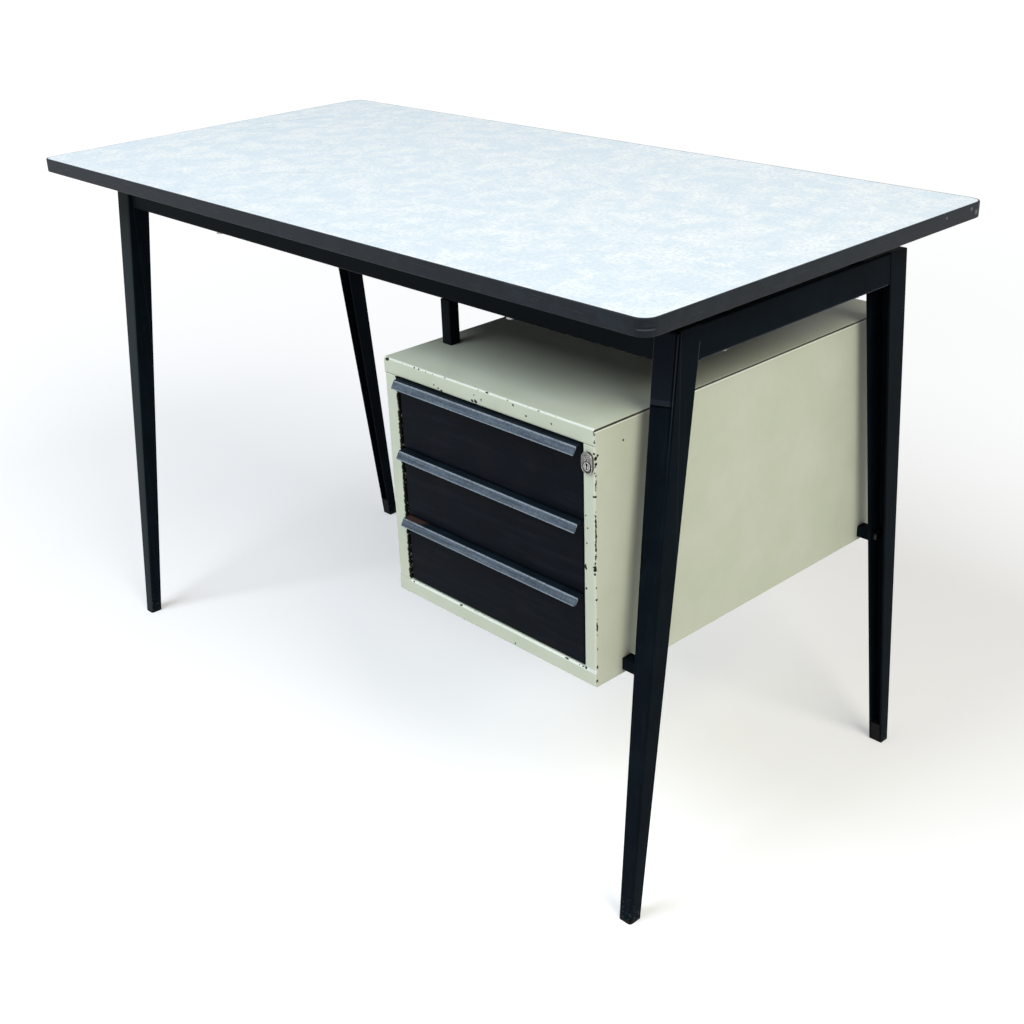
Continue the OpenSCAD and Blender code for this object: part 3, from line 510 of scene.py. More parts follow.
# Foot glides: moulded black plastic plugs, pushed into the open ends of the legs. The flange
# under each leg is scuffed dull and a little grey by the floor.
glide_plastic, tree, shader, place = new_finish("moulded_black_plastic_glides")
grit = add_node(
    tree, "TexNoise", {"Scale": 1 / (3 * MM), "Detail": 5.0, "Roughness": 0.7}, {"Vector": place}
)[0]
rubbed = add_node(tree, "MapRange", {"From Min": 0.45, "From Max": 0.7}, {"Value": grit})[0]
tone = add_node(
    tree, "Mix", {"data_type": "RGBA", 6: linear("#0a0b0d"), 7: linear("#1c1d1f")}, {0: rubbed}
)
tree.links.new(tone[2], shader.inputs["Base Color"])
shader.inputs["Roughness"].default_value = 0.6
shader.inputs["Specular IOR Level"].default_value = 0.1
finish_nodes(glide_plastic, "foot_glides")

# Desktop fixings: round black rubber spacers between the frame and the desktop, and the
# machine screws that run up through the rails and the spacers into the inserts.
# rubber: a dull black that swallows light, with a faint grey bloom in clouds of 6 mm
rubber, tree, shader, place = new_finish("black_rubber_spacers")
bloom = add_node(tree, "TexNoise", {"Scale": 1 / (6 * MM), "Detail": 4.0}, {"Vector": place})[0]
tone = add_node(
    tree, "Mix", {"data_type": "RGBA", 6: linear("#0f1012"), 7: linear("#1d1e20")}, {0: bloom}
)
tree.links.new(tone[2], shader.inputs["Base Color"])
shader.inputs["Roughness"].default_value = 0.75
shader.inputs["Specular IOR Level"].default_value = 0.2
eased("desktop_spacers", "desk", "spacer_black", rubber, 0.4 * MM)
eased("desktop_screws", "desk", "fastener_steel", zinc_fastener, 0.4 * MM)

# Hanging of the cabinet: square tube posts at the left, square spacer bars at the right, in
# the frame's black enamel, with bolts and nuts of zinc-plated steel.
eased("hanger_post_front", "desk", "frame_black", black_enamel, 0.35 * MM, 0.02 * MM)
eased("hanger_post_back", "desk", "frame_black", black_enamel, 0.35 * MM, 0.02 * MM)
eased("leg_spacer_bars", "desk", "frame_black", black_enamel, 0.35 * MM)
dark_bolt = zinc("blackened_steel_hex_bolts", "#4b4d4f", "#2c2e30")
eased("leg_spacer_bolts", "desk", "fastener_steel", dark_bolt, 0.45 * MM)
eased("leg_spacer_nuts", "desk", "fastener_steel", zinc_fastener, 0.4 * MM)
eased("hanger_bolts", "desk", "fastener_steel", zinc_fastener, 0.4 * MM)

# Cabinet: top, bottom, two sides and a back, folded from 1.5 mm sheet, spot-welded, and stove
# enamelled in a greenish cream that has chipped to the dark steel along its front folds.
CAB_X, CAB_Y, CAB_Z = (171 * MM, 513 * MM), -280 * MM, (319 * MM, 631 * MM)
OPEN_X, OPEN_Z = (191 * MM, 496 * MM), (339 * MM, 611 * MM)
cream_enamel, tree, shader, place, tone = enamel(
    "stove_enamel_cream_chipped", "#cbd1bb", "#d2d7c4", 0.42, 0.14
)


def off_line(across, point):
    """How far a point of the surface lies from a straight fold; across is 0 along the fold."""
    masked = [-a * p for a, p in zip(across, point)]
    rest = add_node(
        tree, "VectorMath", {"operation": "MULTIPLY_ADD", 1: across, 2: masked}, {0: place}
    )[0]
    return add_node(tree, "VectorMath", {"operation": "LENGTH"}, {0: rest})["Value"]


along_x, along_z = (0, 1, 1), (1, 1, 0)
# the left jamb's sheet turns inwards, and the dark mark goes on along it as painted shade, so its
# depth counts for little
jamb_return = (1, 0.12, 0)
top_fold = off_line(along_x, (0, CAB_Y, CAB_Z[1]))
sill = off_line(along_x, (0, CAB_Y, OPEN_Z[0]))
right_fold = off_line(along_z, (CAB_X[1], CAB_Y, 0))
left_jamb = off_line(jamb_return, (OPEN_X[0], CAB_Y, 0))
right_jamb = off_line(along_z, (OPEN_X[1], CAB_Y, 0))
bottom_fold = off_line(along_x, (0, CAB_Y, CAB_Z[0]))
head = off_line(along_x, (0, CAB_Y, OPEN_Z[1]))

# painted highlights, as fold, reach in millimetres, strength and left end: a near-white painted
# highlight along the top fold and the sill, and a fainter one along the right fold and over the
# opening
parts = add_node(tree, "SeparateXYZ", {}, {0: place})
line_break_noise = add_node(
    tree, "TexNoise", {"Scale": 1 / (14 * MM), "Detail": 4.0, "Roughness": 0.6}, {"Vector": place}
)[0]
for fold, reach, strength, left_end in (
    (top_fold, 2.3, 0.85, 170 * MM),
    (sill, 3.0, 0.9, 193 * MM),
    (right_fold, 1.6, 0.3, 170 * MM),
    (head, 1.2, 0.35, 170 * MM),
):
    painted_fold_highlight = add_node(
        tree,
        "MapRange",
        {"From Min": reach * MM, "From Max": 0.4 * reach * MM, "To Max": strength},
        {"Value": fold},
    )[0]
    broken = add_node(
        tree, "MapRange", {"From Min": 0.2, "From Max": 0.42}, {"Value": line_break_noise}
    )[0]
    painted_fold_highlight = add_node(tree, "Math", {"operation": "MULTIPLY"}, {0: painted_fold_highlight, 1: broken})[0]
    past_end = add_node(
        tree, "Math", {"operation": "GREATER_THAN", 1: left_end}, {0: parts["X"]}
    )[0]
    painted_fold_highlight = add_node(tree, "Math", {"operation": "MULTIPLY"}, {0: painted_fold_highlight, 1: past_end})[0]
    tone = add_node(tree, "Mix", {"data_type": "RGBA", 7: linear("#f1f6ee")}, {0: painted_fold_highlight, 6: tone[2]})

# chips: likely on a fold and rarer away from it, ragged, about 1 to 4 mm long
ragged = add_node(
    tree, "TexNoise", {"Scale": 1 / (4.5 * MM), "Detail": 5.0, "Roughness": 0.62}, {"Vector": place}
)[0]
groups = add_node(tree, "TexNoise", {"Scale": 1 / (45 * MM), "Detail": 2.0}, {"Vector": place})[0]
likely = add_node(tree, "Math", {"operation": "MULTIPLY_ADD", 1: 0.5, 2: -0.25}, {0: groups})[0]
likely = add_node(tree, "Math", {"operation": "ADD"}, {0: likely, 1: ragged})[0]
chips_and_return_shade = None
for fold, threshold in (
    (right_fold, 0.68),
    (top_fold, 0.64),
    (sill, 0.65),
    (right_jamb, 0.62),
    (bottom_fold, 0.66),
):
    fall = add_node(tree, "Math", {"operation": "MULTIPLY", 1: -0.034 / MM}, {0: fold})[0]
    field = add_node(tree, "Math", {"operation": "ADD"}, {0: likely, 1: fall})[0]
    chip = add_node(
        tree, "MapRange", {"From Min": threshold, "From Max": threshold + 0.012}, {"Value": field}
    )[0]
    if chips_and_return_shade is not None:
        chip = add_node(tree, "Math", {"operation": "MAXIMUM"}, {0: chips_and_return_shade, 1: chip})[0]
    chips_and_return_shade = chip
# the left jamb's edge, worn to a ragged dark line, and its return beside the drawers, painted
# dark as painted shade
worn_edge_and_return_shade = add_node(
    tree, "Math", {"operation": "MULTIPLY_ADD", 1: 5.0 * MM, 2: -1.5 * MM}, {0: ragged}
)[0]
worn_edge_and_return_shade = add_node(tree, "Math", {"operation": "GREATER_THAN"}, {0: worn_edge_and_return_shade, 1: left_jamb})[0]
OPEN_MIDDLE_Z, OPEN_HALF_H = (OPEN_Z[0] + OPEN_Z[1]) / 2, (OPEN_Z[1] - OPEN_Z[0]) / 2
beside_opening = add_node(
    tree,
    "Math",
    {"operation": "COMPARE", 1: OPEN_MIDDLE_Z, 2: OPEN_HALF_H - 0.5 * MM},
    {0: parts["Z"]},
)[0]
worn_edge_and_return_shade = add_node(tree, "Math", {"operation": "MULTIPLY"}, {0: worn_edge_and_return_shade, 1: beside_opening})[0]
chips_and_return_shade = add_node(tree, "Math", {"operation": "MAXIMUM"}, {0: chips_and_return_shade, 1: worn_edge_and_return_shade})[0]
# single knocks: place and radius in millimetres, and how many times as wide and as high
for x, y, z, size, wide, high in (
    (177, -280, 629, 2.0, 2, 1), (226.5, -280, 630, 1.4, 1.2, 1), (234, -280, 630, 1.1, 1, 1),
    (247, -280, 630, 1.1, 1, 1), (259, -280, 630, 1.1, 1, 1), (279.5, -280, 630.5, 1.3, 1.8, 1),
    (349.5, -280, 630.5, 1.4, 2.2, 1), (384.3, -280, 630.5, 1.4, 2, 1), (392, -280, 627, 1.4, 1, 1),
    (415, -280, 630.5, 1.2, 1, 1), (431, -280, 630.5, 1.2, 1.8, 1), (260.3, -280, 617, 1.1, 1, 1),
    (267.8, -280, 615, 1.1, 1, 1), (273, -280, 613.3, 1.1, 1.5, 1), (329.3, -280, 622, 1.2, 1, 1),
    (326.3, -280, 614.8, 1.6, 1.3, 1), (331.5, -280, 615.4, 2.1, 1.2, 1),
    (341, -280, 619, 1.2, 1, 1.8), (412, -280, 618.7, 1.2, 1, 1), (450.5, -280, 620.2, 1.2, 1, 1),
    (383, -280, 323.2, 1.3, 1, 1), (513, -280, 627.2, 1.3, 1, 2.4), (513, -280, 618, 1.3, 1, 2.2),
    (512.3, -280, 603.5, 1.6, 1, 1), (513, -275.5, 600.8, 1.7, 1, 1),
    (513, -278, 598.5, 2.0, 1, 1.3), (513, -278, 591.7, 1.7, 1, 1.2),
    (513, -279.5, 588.9, 1.6, 1, 1), (513, -279.3, 581.5, 1.2, 1, 1), (513, -278, 578, 1.3, 1, 1),
    (513, -278, 566, 0.9, 1, 8), (511, -280, 554.5, 1.3, 1, 1), (513, -278.5, 554.5, 1.5, 1, 1),
    (513, -278.6, 527, 1.1, 1, 9), (513, -278.4, 511, 1.2, 1, 8), (513, -278.4, 495, 1.2, 1, 8),
    (513, -279, 480, 1.2, 1, 6), (512.7, -280, 469.6, 2.1, 1, 2.2), (510.5, -280, 471, 1.4, 1, 1),
    (512.2, -280, 462.8, 1.4, 1, 1.5), (513, -278, 446, 1.2, 1, 1.5), (513, -278, 431, 1.4, 1, 1.3),
    (513, -277, 406.5, 1.2, 1, 1), (513, -277.5, 397.5, 1.0, 1, 6), (513, -277, 386, 1.1, 1, 1.5),
    (513, -277, 368, 1.1, 1, 2), (513, -277, 346, 1.2, 1, 1.5), (513, -278, 327.5, 1.7, 1, 1),
    (499.5, -280, 529, 1.3, 1, 1), (502, -280, 515, 1.2, 1, 1), (501, -280, 497, 1.3, 1, 1),
    (499, -280, 467.3, 2.0, 1, 1.6), (499.8, -280, 441, 1.4, 1, 1), (287.3, -280, 339, 1.7, 2, 1),
    (466.5, -280, 339, 1.7, 2.4, 1), (487, -280, 339, 1.2, 1, 1), (491.8, -280, 339.5, 1.6, 1.5, 1),
    (497, -280, 339.5, 2.1, 1.4, 1), (198, -280, 338, 1.5, 1, 1), (513, -236, 606, 1.2, 1, 1),
):
    squashed = (1 / wide, 1.0, 1 / high)
    masked = (-x * MM / wide, -y * MM, -z * MM / high)
    off = add_node(
        tree, "VectorMath", {"operation": "MULTIPLY_ADD", 1: squashed, 2: masked}, {0: place}
    )[0]
    off = add_node(tree, "VectorMath", {"operation": "LENGTH"}, {0: off})["Value"]
    bulge = add_node(
        tree, "Math", {"operation": "MULTIPLY_ADD", 1: 5.0 * MM, 2: -2.5 * MM}, {0: ragged}
    )[0]
    off = add_node(tree, "Math", {"operation": "ADD"}, {0: off, 1: bulge})[0]
    chip = add_node(
        tree, "MapRange", {"From Min": size * MM, "From Max": (size - 0.25) * MM}, {"Value": off}
    )[0]
    chips_and_return_shade = add_node(tree, "Math", {"operation": "MAXIMUM"}, {0: chips_and_return_shade, 1: chip})[0]
# dark steel where chipped, and painted shade on the left jamb's return
tone = add_node(tree, "Mix", {"data_type": "RGBA", 7: linear("#1b1a16")}, {0: chips_and_return_shade, 6: tone[2]})

# the seam where the side's sheet ends under the top: a dark line with a lit edge below it
on_side = add_node(
    tree, "Math", {"operation": "GREATER_THAN", 1: CAB_X[1] - 0.6 * MM}, {0: parts["X"]}
)[0]
for level, half, hue, strength in ((629.4, 1.2, "#1f1f1a", 0.95), (627.3, 0.9, "#e9eddc", 0.9)):
    line = add_node(
        tree, "Math", {"operation": "COMPARE", 1: level * MM, 2: half * MM}, {0: parts["Z"]}
    )[0]
    line = add_node(tree, "Math", {"operation": "MULTIPLY"}, {0: line, 1: on_side})[0]
    line = add_node(tree, "Math", {"operation": "MULTIPLY", 1: strength}, {0: line})[0]
    tone = add_node(tree, "Mix", {"data_type": "RGBA", 7: linear(hue)}, {0: line, 6: tone[2]})
tree.links.new(tone[2], shader.inputs["Base Color"])
finish_nodes(
    cream_enamel,
    "cabinet_top", "cabinet_bottom", "cabinet_side_left", "cabinet_side_right", "cabinet_back",
)

# Runners: channels of bare galvanised steel, welded inside the cabinet's sides, each with a
# nylon pad pressed in its mouth for the drawer's bar to slide on.
galvanised = zinc("galvanised_steel_runners", "#a3a5a2", "#7f817d")
finish_nodes(galvanised, "cabinet_runners_left", "cabinet_runners_right")
# nylon: a waxy off-white that lets a little light in, yellowed in patches of 5 mm
nylon, tree, shader, place = new_finish("natural_nylon")
yellowing = add_node(tree, "TexNoise", {"Scale": 1 / (5 * MM), "Detail": 3.0}, {"Vector": place})[0]
tone = add_node(
    tree, "Mix", {"data_type": "RGBA", 6: linear("#e6dfc9"), 7: linear("#d5c9a6")}, {0: yellowing}
)
tree.links.new(tone[2], shader.inputs["Base Color"])
shader.inputs["Roughness"].default_value = 0.45
shader.inputs["Subsurface Weight"].default_value = 0.1
finish_nodes(nylon, "cabinet_runner_pads")

# Drawer fronts: trays of sheet steel turned face out, in blue-black enamel that shows faint
# brown and blue smears from left to right.
front_enamel, tree, shader, place, tone = enamel(
    "stove_enamel_blue_black", "#070b12", "#0c1119", 0.42, 0.03
)
across = add_node(
    tree,
    "TexNoise",
    {"Scale": 1 / (9 * MM), "Detail": 5.0, "Roughness": 0.65},
    {"Vector": add_node(tree, "Mapping", {"Scale": (0.08, 1.0, 1.0)}, {"Vector": place})[0]},
)[0]
smear = add_node(
    tree, "MapRange", {"From Min": 0.5, "From Max": 0.75, "To Max": 0.3}, {"Value": across}
)[0]
tone = add_node(tree, "Mix", {"data_type": "RGBA", 7: linear("#262c36")}, {0: smear, 6: tone[2]})
brown = add_node(tree, "TexNoise", {"Scale": 1 / (40 * MM), "Detail": 3.0}, {"Vector": place})[0]
brown = add_node(
    tree, "MapRange", {"From Min": 0.55, "From Max": 0.8, "To Max": 0.45}, {"Value": brown}
)[0]
tone = add_node(tree, "Mix", {"data_type": "RGBA", 7: linear("#1f1a1b")}, {0: brown, 6: tone[2]})
tree.links.new(tone[2], shader.inputs["Base Color"])
for level in ("top", "middle", "bottom"):
    eased(f"drawer_{level}_front", f"{level}_drawer", "front_black", front_enamel, 0.4 * MM)

# Handles: a strip of 1.5 mm sheet on top of each front, bent 60 degrees down into a lip along
# the whole width. The lip is painted a lighter blue-grey, partly worn enamel and partly a painted
# sheen, and the lowest one has a clipped corner.
HANDLE_X, FLANGE_Y, BEND_Y = (194.5 * MM, 492.5 * MM), -265.5 * MM, -284.268 * MM
SHEET, BEND_R, BEND_TURN, LIP_LONG = 1.5 * MM, 3 * MM, math.radians(60), 9.268 * MM
HANDLE_TOP = {"top": 609 * MM, "middle": 519 * MM, "bottom": 429 * MM}
handle_enamel, tree, shader, place, tone = enamel(
    "blue_grey_enamel_worn_and_painted_sheen", "#0c141a", "#182129", 0.38, 0.1
)
parts = add_node(tree, "SeparateXYZ", {}, {0: place})
speckle = add_node(
    tree, "TexNoise", {"Scale": 1 / (3 * MM), "Detail": 5.0, "Roughness": 0.7}, {"Vector": place}
)[0]
streak = add_node(
    tree,
    "TexNoise",
    {"Scale": 1 / (3 * MM), "Detail": 4.0, "Roughness": 0.6},
    {"Vector": add_node(tree, "Mapping", {"Scale": (0.06, 1.0, 1.0)}, {"Vector": place})[0]},
)[0]
mottle = add_node(tree, "Math", {"operation": "MULTIPLY"}, {0: speckle, 1: streak})[0]
mottle = add_node(tree, "MapRange", {"From Min": 0.14, "From Max": 0.4}, {"Value": mottle})[0]
# the lip's lighter blue-grey: worn enamel, and a painted sheen where the lip tilts up to the light
lip_tone = add_node(
    tree, "Mix", {"data_type": "RGBA", 6: linear("#3d4651"), 7: linear("#687480")}, {0: mottle}
)
on_lip = add_node(
    tree, "MapRange", {"From Min": -285.6 * MM, "From Max": -286.6 * MM}, {"Value": parts["Y"]}
)[0]
tone = add_node(tree, "Mix", {"data_type": "RGBA"}, {0: on_lip, 6: tone[2], 7: lip_tone[2]})
# bright broken lines along the lip, where hands rub its bend and its lower edge
for middle, half, strength in ((-286.6, 0.5, 0.55), (-291.4, 0.5, 0.45)):
    line = add_node(
        tree, "Math", {"operation": "COMPARE", 1: middle * MM, 2: half * MM}, {0: parts["Y"]}
    )[0]
    broken = add_node(
        tree,
        "MapRange",
        {"From Min": 0.25, "From Max": 0.5, "To Max": strength},
        {"Value": speckle},
    )[0]
    line = add_node(tree, "Math", {"operation": "MULTIPLY"}, {0: line, 1: broken})[0]
    tone = add_node(tree, "Mix", {"data_type": "RGBA", 7: linear("#a5b0ba")}, {0: line, 6: tone[2]})
# rust at the left end of the lowest handle's top, thin and brown, ragged at its edge: its
# middle, and how far it reaches along, across and up, in millimetres
RUST_MIDDLE, RUST_REACH = (211.0, -277.0, 428.8), (21.0, 11.0, 6.0)
spread = add_node(
    tree,
    "Mapping",
    {
        "Location": [-m / r for m, r in zip(RUST_MIDDLE, RUST_REACH)],
        "Scale": [1 / (r * MM) for r in RUST_REACH],
    },
    {"Vector": place},
)[0]
off = add_node(tree, "VectorMath", {"operation": "LENGTH"}, {0: spread})["Value"]
off = add_node(tree, "Math", {"operation": "ADD"}, {0: off, 1: speckle})[0]
rust = add_node(
    tree, "MapRange", {"From Min": 1.55, "From Max": 1.2, "To Max": 0.75}, {"Value": off}
)[0]
rust_tone = add_node(
    tree, "Mix", {"data_type": "RGBA", 6: linear("#261b18"), 7: linear("#5a4237")}, {0: speckle}
)
tone = add_node(tree, "Mix", {"data_type": "RGBA"}, {0: rust, 6: tone[2], 7: rust_tone[2]})
tree.links.new(tone[2], shader.inputs["Base Color"])

HANDLE_W = HANDLE_X[1] - HANDLE_X[0]
FLANGE_W = FLANGE_Y - BEND_Y
first_top = HANDLE_TOP["top"]
blank = start(
    "handle_blank", (HANDLE_W, FLANGE_W), (sum(HANDLE_X) / 2, FLANGE_Y - FLANGE_W / 2, first_top)
)
select(blank, "EDGE", lambda p: p.y < BEND_Y + NEAR)
bpy.ops.mesh.spin(
    steps=6, angle=-BEND_TURN, center=(0, BEND_Y, first_top - BEND_R), axis=(1, 0, 0), dupli=False
)
bpy.ops.mesh.extrude_region_move(
    TRANSFORM_OT_translate={
        "value": (0, -LIP_LONG * math.cos(BEND_TURN), -LIP_LONG * math.sin(BEND_TURN))
    }
)
bpy.ops.mesh.select_all(action="SELECT")
bpy.ops.mesh.remove_doubles(threshold=0.001 * MM)
bpy.ops.object.mode_set(mode="OBJECT")
lip_y = min(v.co.y for v in blank.data.vertices)
for level in ("top", "middle", "bottom"):
    deselect()
    blank.select_set(True)
    bpy.context.view_layer.objects.active = blank
    bpy.ops.object.duplicate()
    handle = bpy.context.object
    handle.name = handle.data.name = f"drawer_{level}_handle_strip"
    bpy.ops.transform.translate(value=(0, 0, HANDLE_TOP[level] - first_top))
    bpy.ops.object.transform_apply(location=True, rotation=True, scale=True)
    if level == "bottom":
        select(handle, "VERT", lambda p: p.y < lip_y + NEAR and p.x > HANDLE_X[1] - NEAR)
        bpy.ops.mesh.bevel(affect="VERTICES", offset=4 * MM, segments=3)
    select(
        handle,
        "VERT",
        lambda p: p.y < lip_y + NEAR and min(p.x - HANDLE_X[0], HANDLE_X[1] - p.x) < NEAR,
    )
    bpy.ops.mesh.bevel(affect="VERTICES", offset=1.2 * MM, segments=3)
    bpy.ops.object.mode_set(mode="OBJECT")
    wall = handle.modifiers.new("sheet", "SOLIDIFY")
    wall.thickness, wall.offset, wall.use_even_offset = SHEET, -1, True
    bpy.ops.object.modifier_apply(modifier=wall.name)
    ease = handle.modifiers.new("eased_edges", "BEVEL")
    ease.width, ease.segments = 0.3 * MM, 2
    ease.limit_method, ease.angle_limit = "ANGLE", math.radians(40)
    bpy.ops.object.modifier_apply(modifier=ease.name)
    close_up(handle, f"{level}_drawer", "handle_grey", handle_enamel, f"drawer_{level}_handle")
bpy.data.objects.remove(blank)

# Trays: bottoms, sides and ends of thinner sheet in dark grey enamel, spot-welded behind the
# fronts, on slide bars of galvanised steel with a nylon glide at the back of each.
tray_enamel, tree, shader, place, tone = enamel(
    "stove_enamel_dark_grey", "#34373c", "#3d4046", 0.45, 0.3
)
for level in ("top", "middle", "bottom"):
    part, body = f"drawer_{level}_", f"{level}_drawer"
    for piece in ("tray_bottom", "tray_sides", "tray_ends"):
        eased(part + piece, body, "tray_grey", tray_enamel, 0.3 * MM)
    eased(part + "slide_bars", body, "runner_steel", galvanised, 0.4 * MM)
    eased(part + "glides", body, "nylon", nylon, 0.5 * MM)

# Lock: a die-cast, nickel-plated cylinder lock in the right stile, with ridges that follow its
# oval face. Its cam lifts a steel bar with a hook for each drawer, held by two guides.
LOCK_X, LOCK_Z, PLUG_Z = 504.3 * MM, 592 * MM, 588.2 * MM
FACE_W, FACE_H = 15.5 * MM, 24.5 * MM
BASE_Y, FIELD_Y, RING_R = -281.6 * MM, -282.65 * MM, 5.05 * MM
# nickel plate: a warm grey shine that is broken by spots of tarnish, some 2 mm wide
nickel, tree, shader, place = new_finish("worn_nickel_plate")
parts = add_node(tree, "SeparateXYZ", {}, {0: place})
tarnish = add_node(
    tree, "TexNoise", {"Scale": 1 / (2.2 * MM), "Detail": 4.0, "Roughness": 0.6}, {"Vector": place}
)[0]
spread = add_node(tree, "MapRange", {"From Min": 0.35, "From Max": 0.65}, {"Value": tarnish})[0]
tone = add_node(
    tree, "Mix", {"data_type": "RGBA", 6: linear("#cfcdc8"), 7: linear("#9d9a95")}, {0: spread}
)
# the face darker behind the ridges, 0.2 mm below their tops
dirt_and_shade = add_node(
    tree,
    "MapRange",
    {"From Min": FIELD_Y - 0.25 * MM, "From Max": FIELD_Y - 0.1 * MM, "To Max": 0.85},
    {"Value": parts["Y"]},
)[0]
field = add_node(
    tree, "Math", {"operation": "COMPARE", 1: FIELD_Y, 2: 0.03 * MM}, {0: parts["Y"]}
)[0]
field = add_node(tree, "Math", {"operation": "MULTIPLY", 1: 0.65}, {0: field})[0]
dirt_and_shade = add_node(tree, "Math", {"operation": "SUBTRACT", "use_clamp": True}, {0: dirt_and_shade, 1: field})[0]
# the dirty joint round the plug; a painted shade crescent, deeper below at the right; and the
# keyhole with its round top, painted black as painted shade
PLUG_FACE_Y = FIELD_Y - 0.05 * MM
from_plug = add_node(
    tree, "VectorMath", {"operation": "DISTANCE", 1: (LOCK_X, PLUG_FACE_Y, PLUG_Z)}, {0: place}
)["Value"]
joint = add_node(
    tree, "Math", {"operation": "COMPARE", 1: 5.35 * MM, 2: 0.4 * MM}, {0: from_plug}
)[0]
painted_shade_crescent = add_node(
    tree,
    "VectorMath",
    {"operation": "DISTANCE", 1: (LOCK_X + 0.6 * MM, PLUG_FACE_Y, PLUG_Z - 0.6 * MM)},
    {0: place},
)["Value"]
painted_shade_crescent = add_node(tree, "Math", {"operation": "COMPARE", 1: 5.9 * MM, 2: 0.45 * MM}, {0: painted_shade_crescent})[0]
plug_ring = add_node(
    tree, "Math", {"operation": "COMPARE", 1: 3.5 * MM, 2: 0.3 * MM}, {0: from_plug}
)[0]
keyhole_painted_shade = add_node(
    tree,
    "VectorMath",
    {"operation": "DISTANCE", 1: (LOCK_X, PLUG_FACE_Y - 0.3 * MM, PLUG_Z + 1.7 * MM)},
    {0: place},
)["Value"]
keyhole_painted_shade = add_node(tree, "Math", {"operation": "LESS_THAN", 1: 1.6 * MM}, {0: keyhole_painted_shade})[0]
# fine rings in the field above the plug, which follow the oval round its two centres
half_apart = (FACE_H - FACE_W) / 2
up = add_node(tree, "Math", {"operation": "SUBTRACT", 1: LOCK_Z}, {0: parts["Z"]})[0]
up = add_node(tree, "Math", {"operation": "ABSOLUTE"}, {0: up})[0]
up = add_node(tree, "Math", {"operation": "SUBTRACT", 1: half_apart, "use_clamp": True}, {0: up})[0]
aside = add_node(tree, "Math", {"operation": "SUBTRACT", 1: LOCK_X}, {0: parts["X"]})[0]
oval = add_node(tree, "CombineXYZ", {}, {0: aside, 1: up})[0]
oval = add_node(tree, "VectorMath", {"operation": "LENGTH"}, {0: oval})["Value"]
above = add_node(tree, "Math", {"operation": "GREATER_THAN", 1: 5.4 * MM}, {0: from_plug})[0]
for middle in (4.3, 2.5, 0.6):
    ring = add_node(
        tree, "Math", {"operation": "COMPARE", 1: middle * MM, 2: 0.5 * MM}, {0: oval}
    )[0]
    ring = add_node(tree, "Math", {"operation": "MULTIPLY"}, {0: ring, 1: above})[0]
    ring = add_node(tree, "Math", {"operation": "MULTIPLY", 1: 0.95}, {0: ring})[0]
    dirt_and_shade = add_node(tree, "Math", {"operation": "MAXIMUM"}, {0: dirt_and_shade, 1: ring})[0]
for mark in (joint, painted_shade_crescent, plug_ring, keyhole_painted_shade):
    dirt_and_shade = add_node(tree, "Math", {"operation": "MAXIMUM"}, {0: dirt_and_shade, 1: mark})[0]
tone = add_node(tree, "Mix", {"data_type": "RGBA", 7: linear("#1c1b1a")}, {0: dirt_and_shade, 6: tone[2]})
tree.links.new(tone[2], shader.inputs["Base Color"])
shader.inputs["Metallic"].default_value = 1.0
rough = add_node(tree, "MapRange", {"To Min": 0.28, "To Max": 0.42}, {"Value": tarnish})[0]
tree.links.new(rough, shader.inputs["Roughness"])
deselect()
bpy.ops.mesh.primitive_circle_add(
    vertices=48, radius=FACE_W / 2 - 0.02 * MM, fill_type="NGON",
    location=(LOCK_X, BASE_Y, LOCK_Z), rotation=(math.pi / 2, 0, 0),
)
ridges = bpy.context.object
ridges.name = ridges.data.name = "lock_face_ridges"
bpy.ops.object.transform_apply(location=True, rotation=True, scale=True)
for way in (1, -1):
    select(ridges, "VERT", lambda p: (p.z - LOCK_Z) * way > 0.05 * MM)
    bpy.ops.transform.translate(value=(0, 0, way * half_apart))
bpy.ops.mesh.select_mode(type="FACE")
bpy.ops.mesh.select_all(action="SELECT")
bpy.ops.mesh.extrude_region_move(TRANSFORM_OT_translate={"value": (0, -1.25 * MM, 0)})
# each step of the ridges goes inwards by its first value and out of the face by its second, in
# millimetres: the outer ridge, a groove, the thin inner ridge, a groove again, and the field
for inwards, outwards in (
    (0.15, 0.25), (0.45, 0.0), (0.1, -0.54), (0.6, 0.0), (0.1, 0.46),
    (0.3, 0.0), (0.1, -0.46), (0.5, 0.0), (0.05, 0.09),
):
    bpy.ops.mesh.inset(thickness=inwards * MM)
    bpy.ops.transform.translate(value=(0, -outwards * MM, 0))
bpy.ops.mesh.delete(type="ONLY_FACE")
bpy.ops.mesh.primitive_circle_add(
    vertices=48, radius=RING_R, fill_type="NOTHING",
    location=(LOCK_X, FIELD_Y, PLUG_Z), rotation=(math.pi / 2, 0, 0),
)
select(ridges, "EDGE", lambda p: abs(p.y - FIELD_Y) < NEAR)
bpy.ops.mesh.bridge_edge_loops()


def on_ring(p):
    """On the edge of the hole round the plug."""
    return abs(p.y - FIELD_Y) < NEAR and math.hypot(p.x - LOCK_X, p.z - PLUG_Z) < RING_R + 2 * NEAR


select(ridges, "EDGE", on_ring)
for outwards, narrower in ((0.3, 0.97), (0.0, 0.93), (-1.0, 1.0)):
    bpy.ops.mesh.extrude_region_move(TRANSFORM_OT_translate={"value": (0, -outwards * MM, 0)})
    bpy.ops.transform.resize(
        value=(narrower, 1, narrower), center_override=(LOCK_X, FIELD_Y, PLUG_Z)
    )
bpy.ops.mesh.select_all(action="SELECT")
bpy.ops.mesh.normals_make_consistent(inside=False)
close_up(ridges, "desk", "lock_nickel", nickel)
eased("lock_housing", "desk", "lock_nickel", nickel, 0.25 * MM)
eased("lock_plug", "lock_cylinder", "lock_nickel", nickel, 0.2 * MM)
finish_nodes(galvanised, "lock_cam", "lock_clip", "lock_bar", "lock_bar_guides")

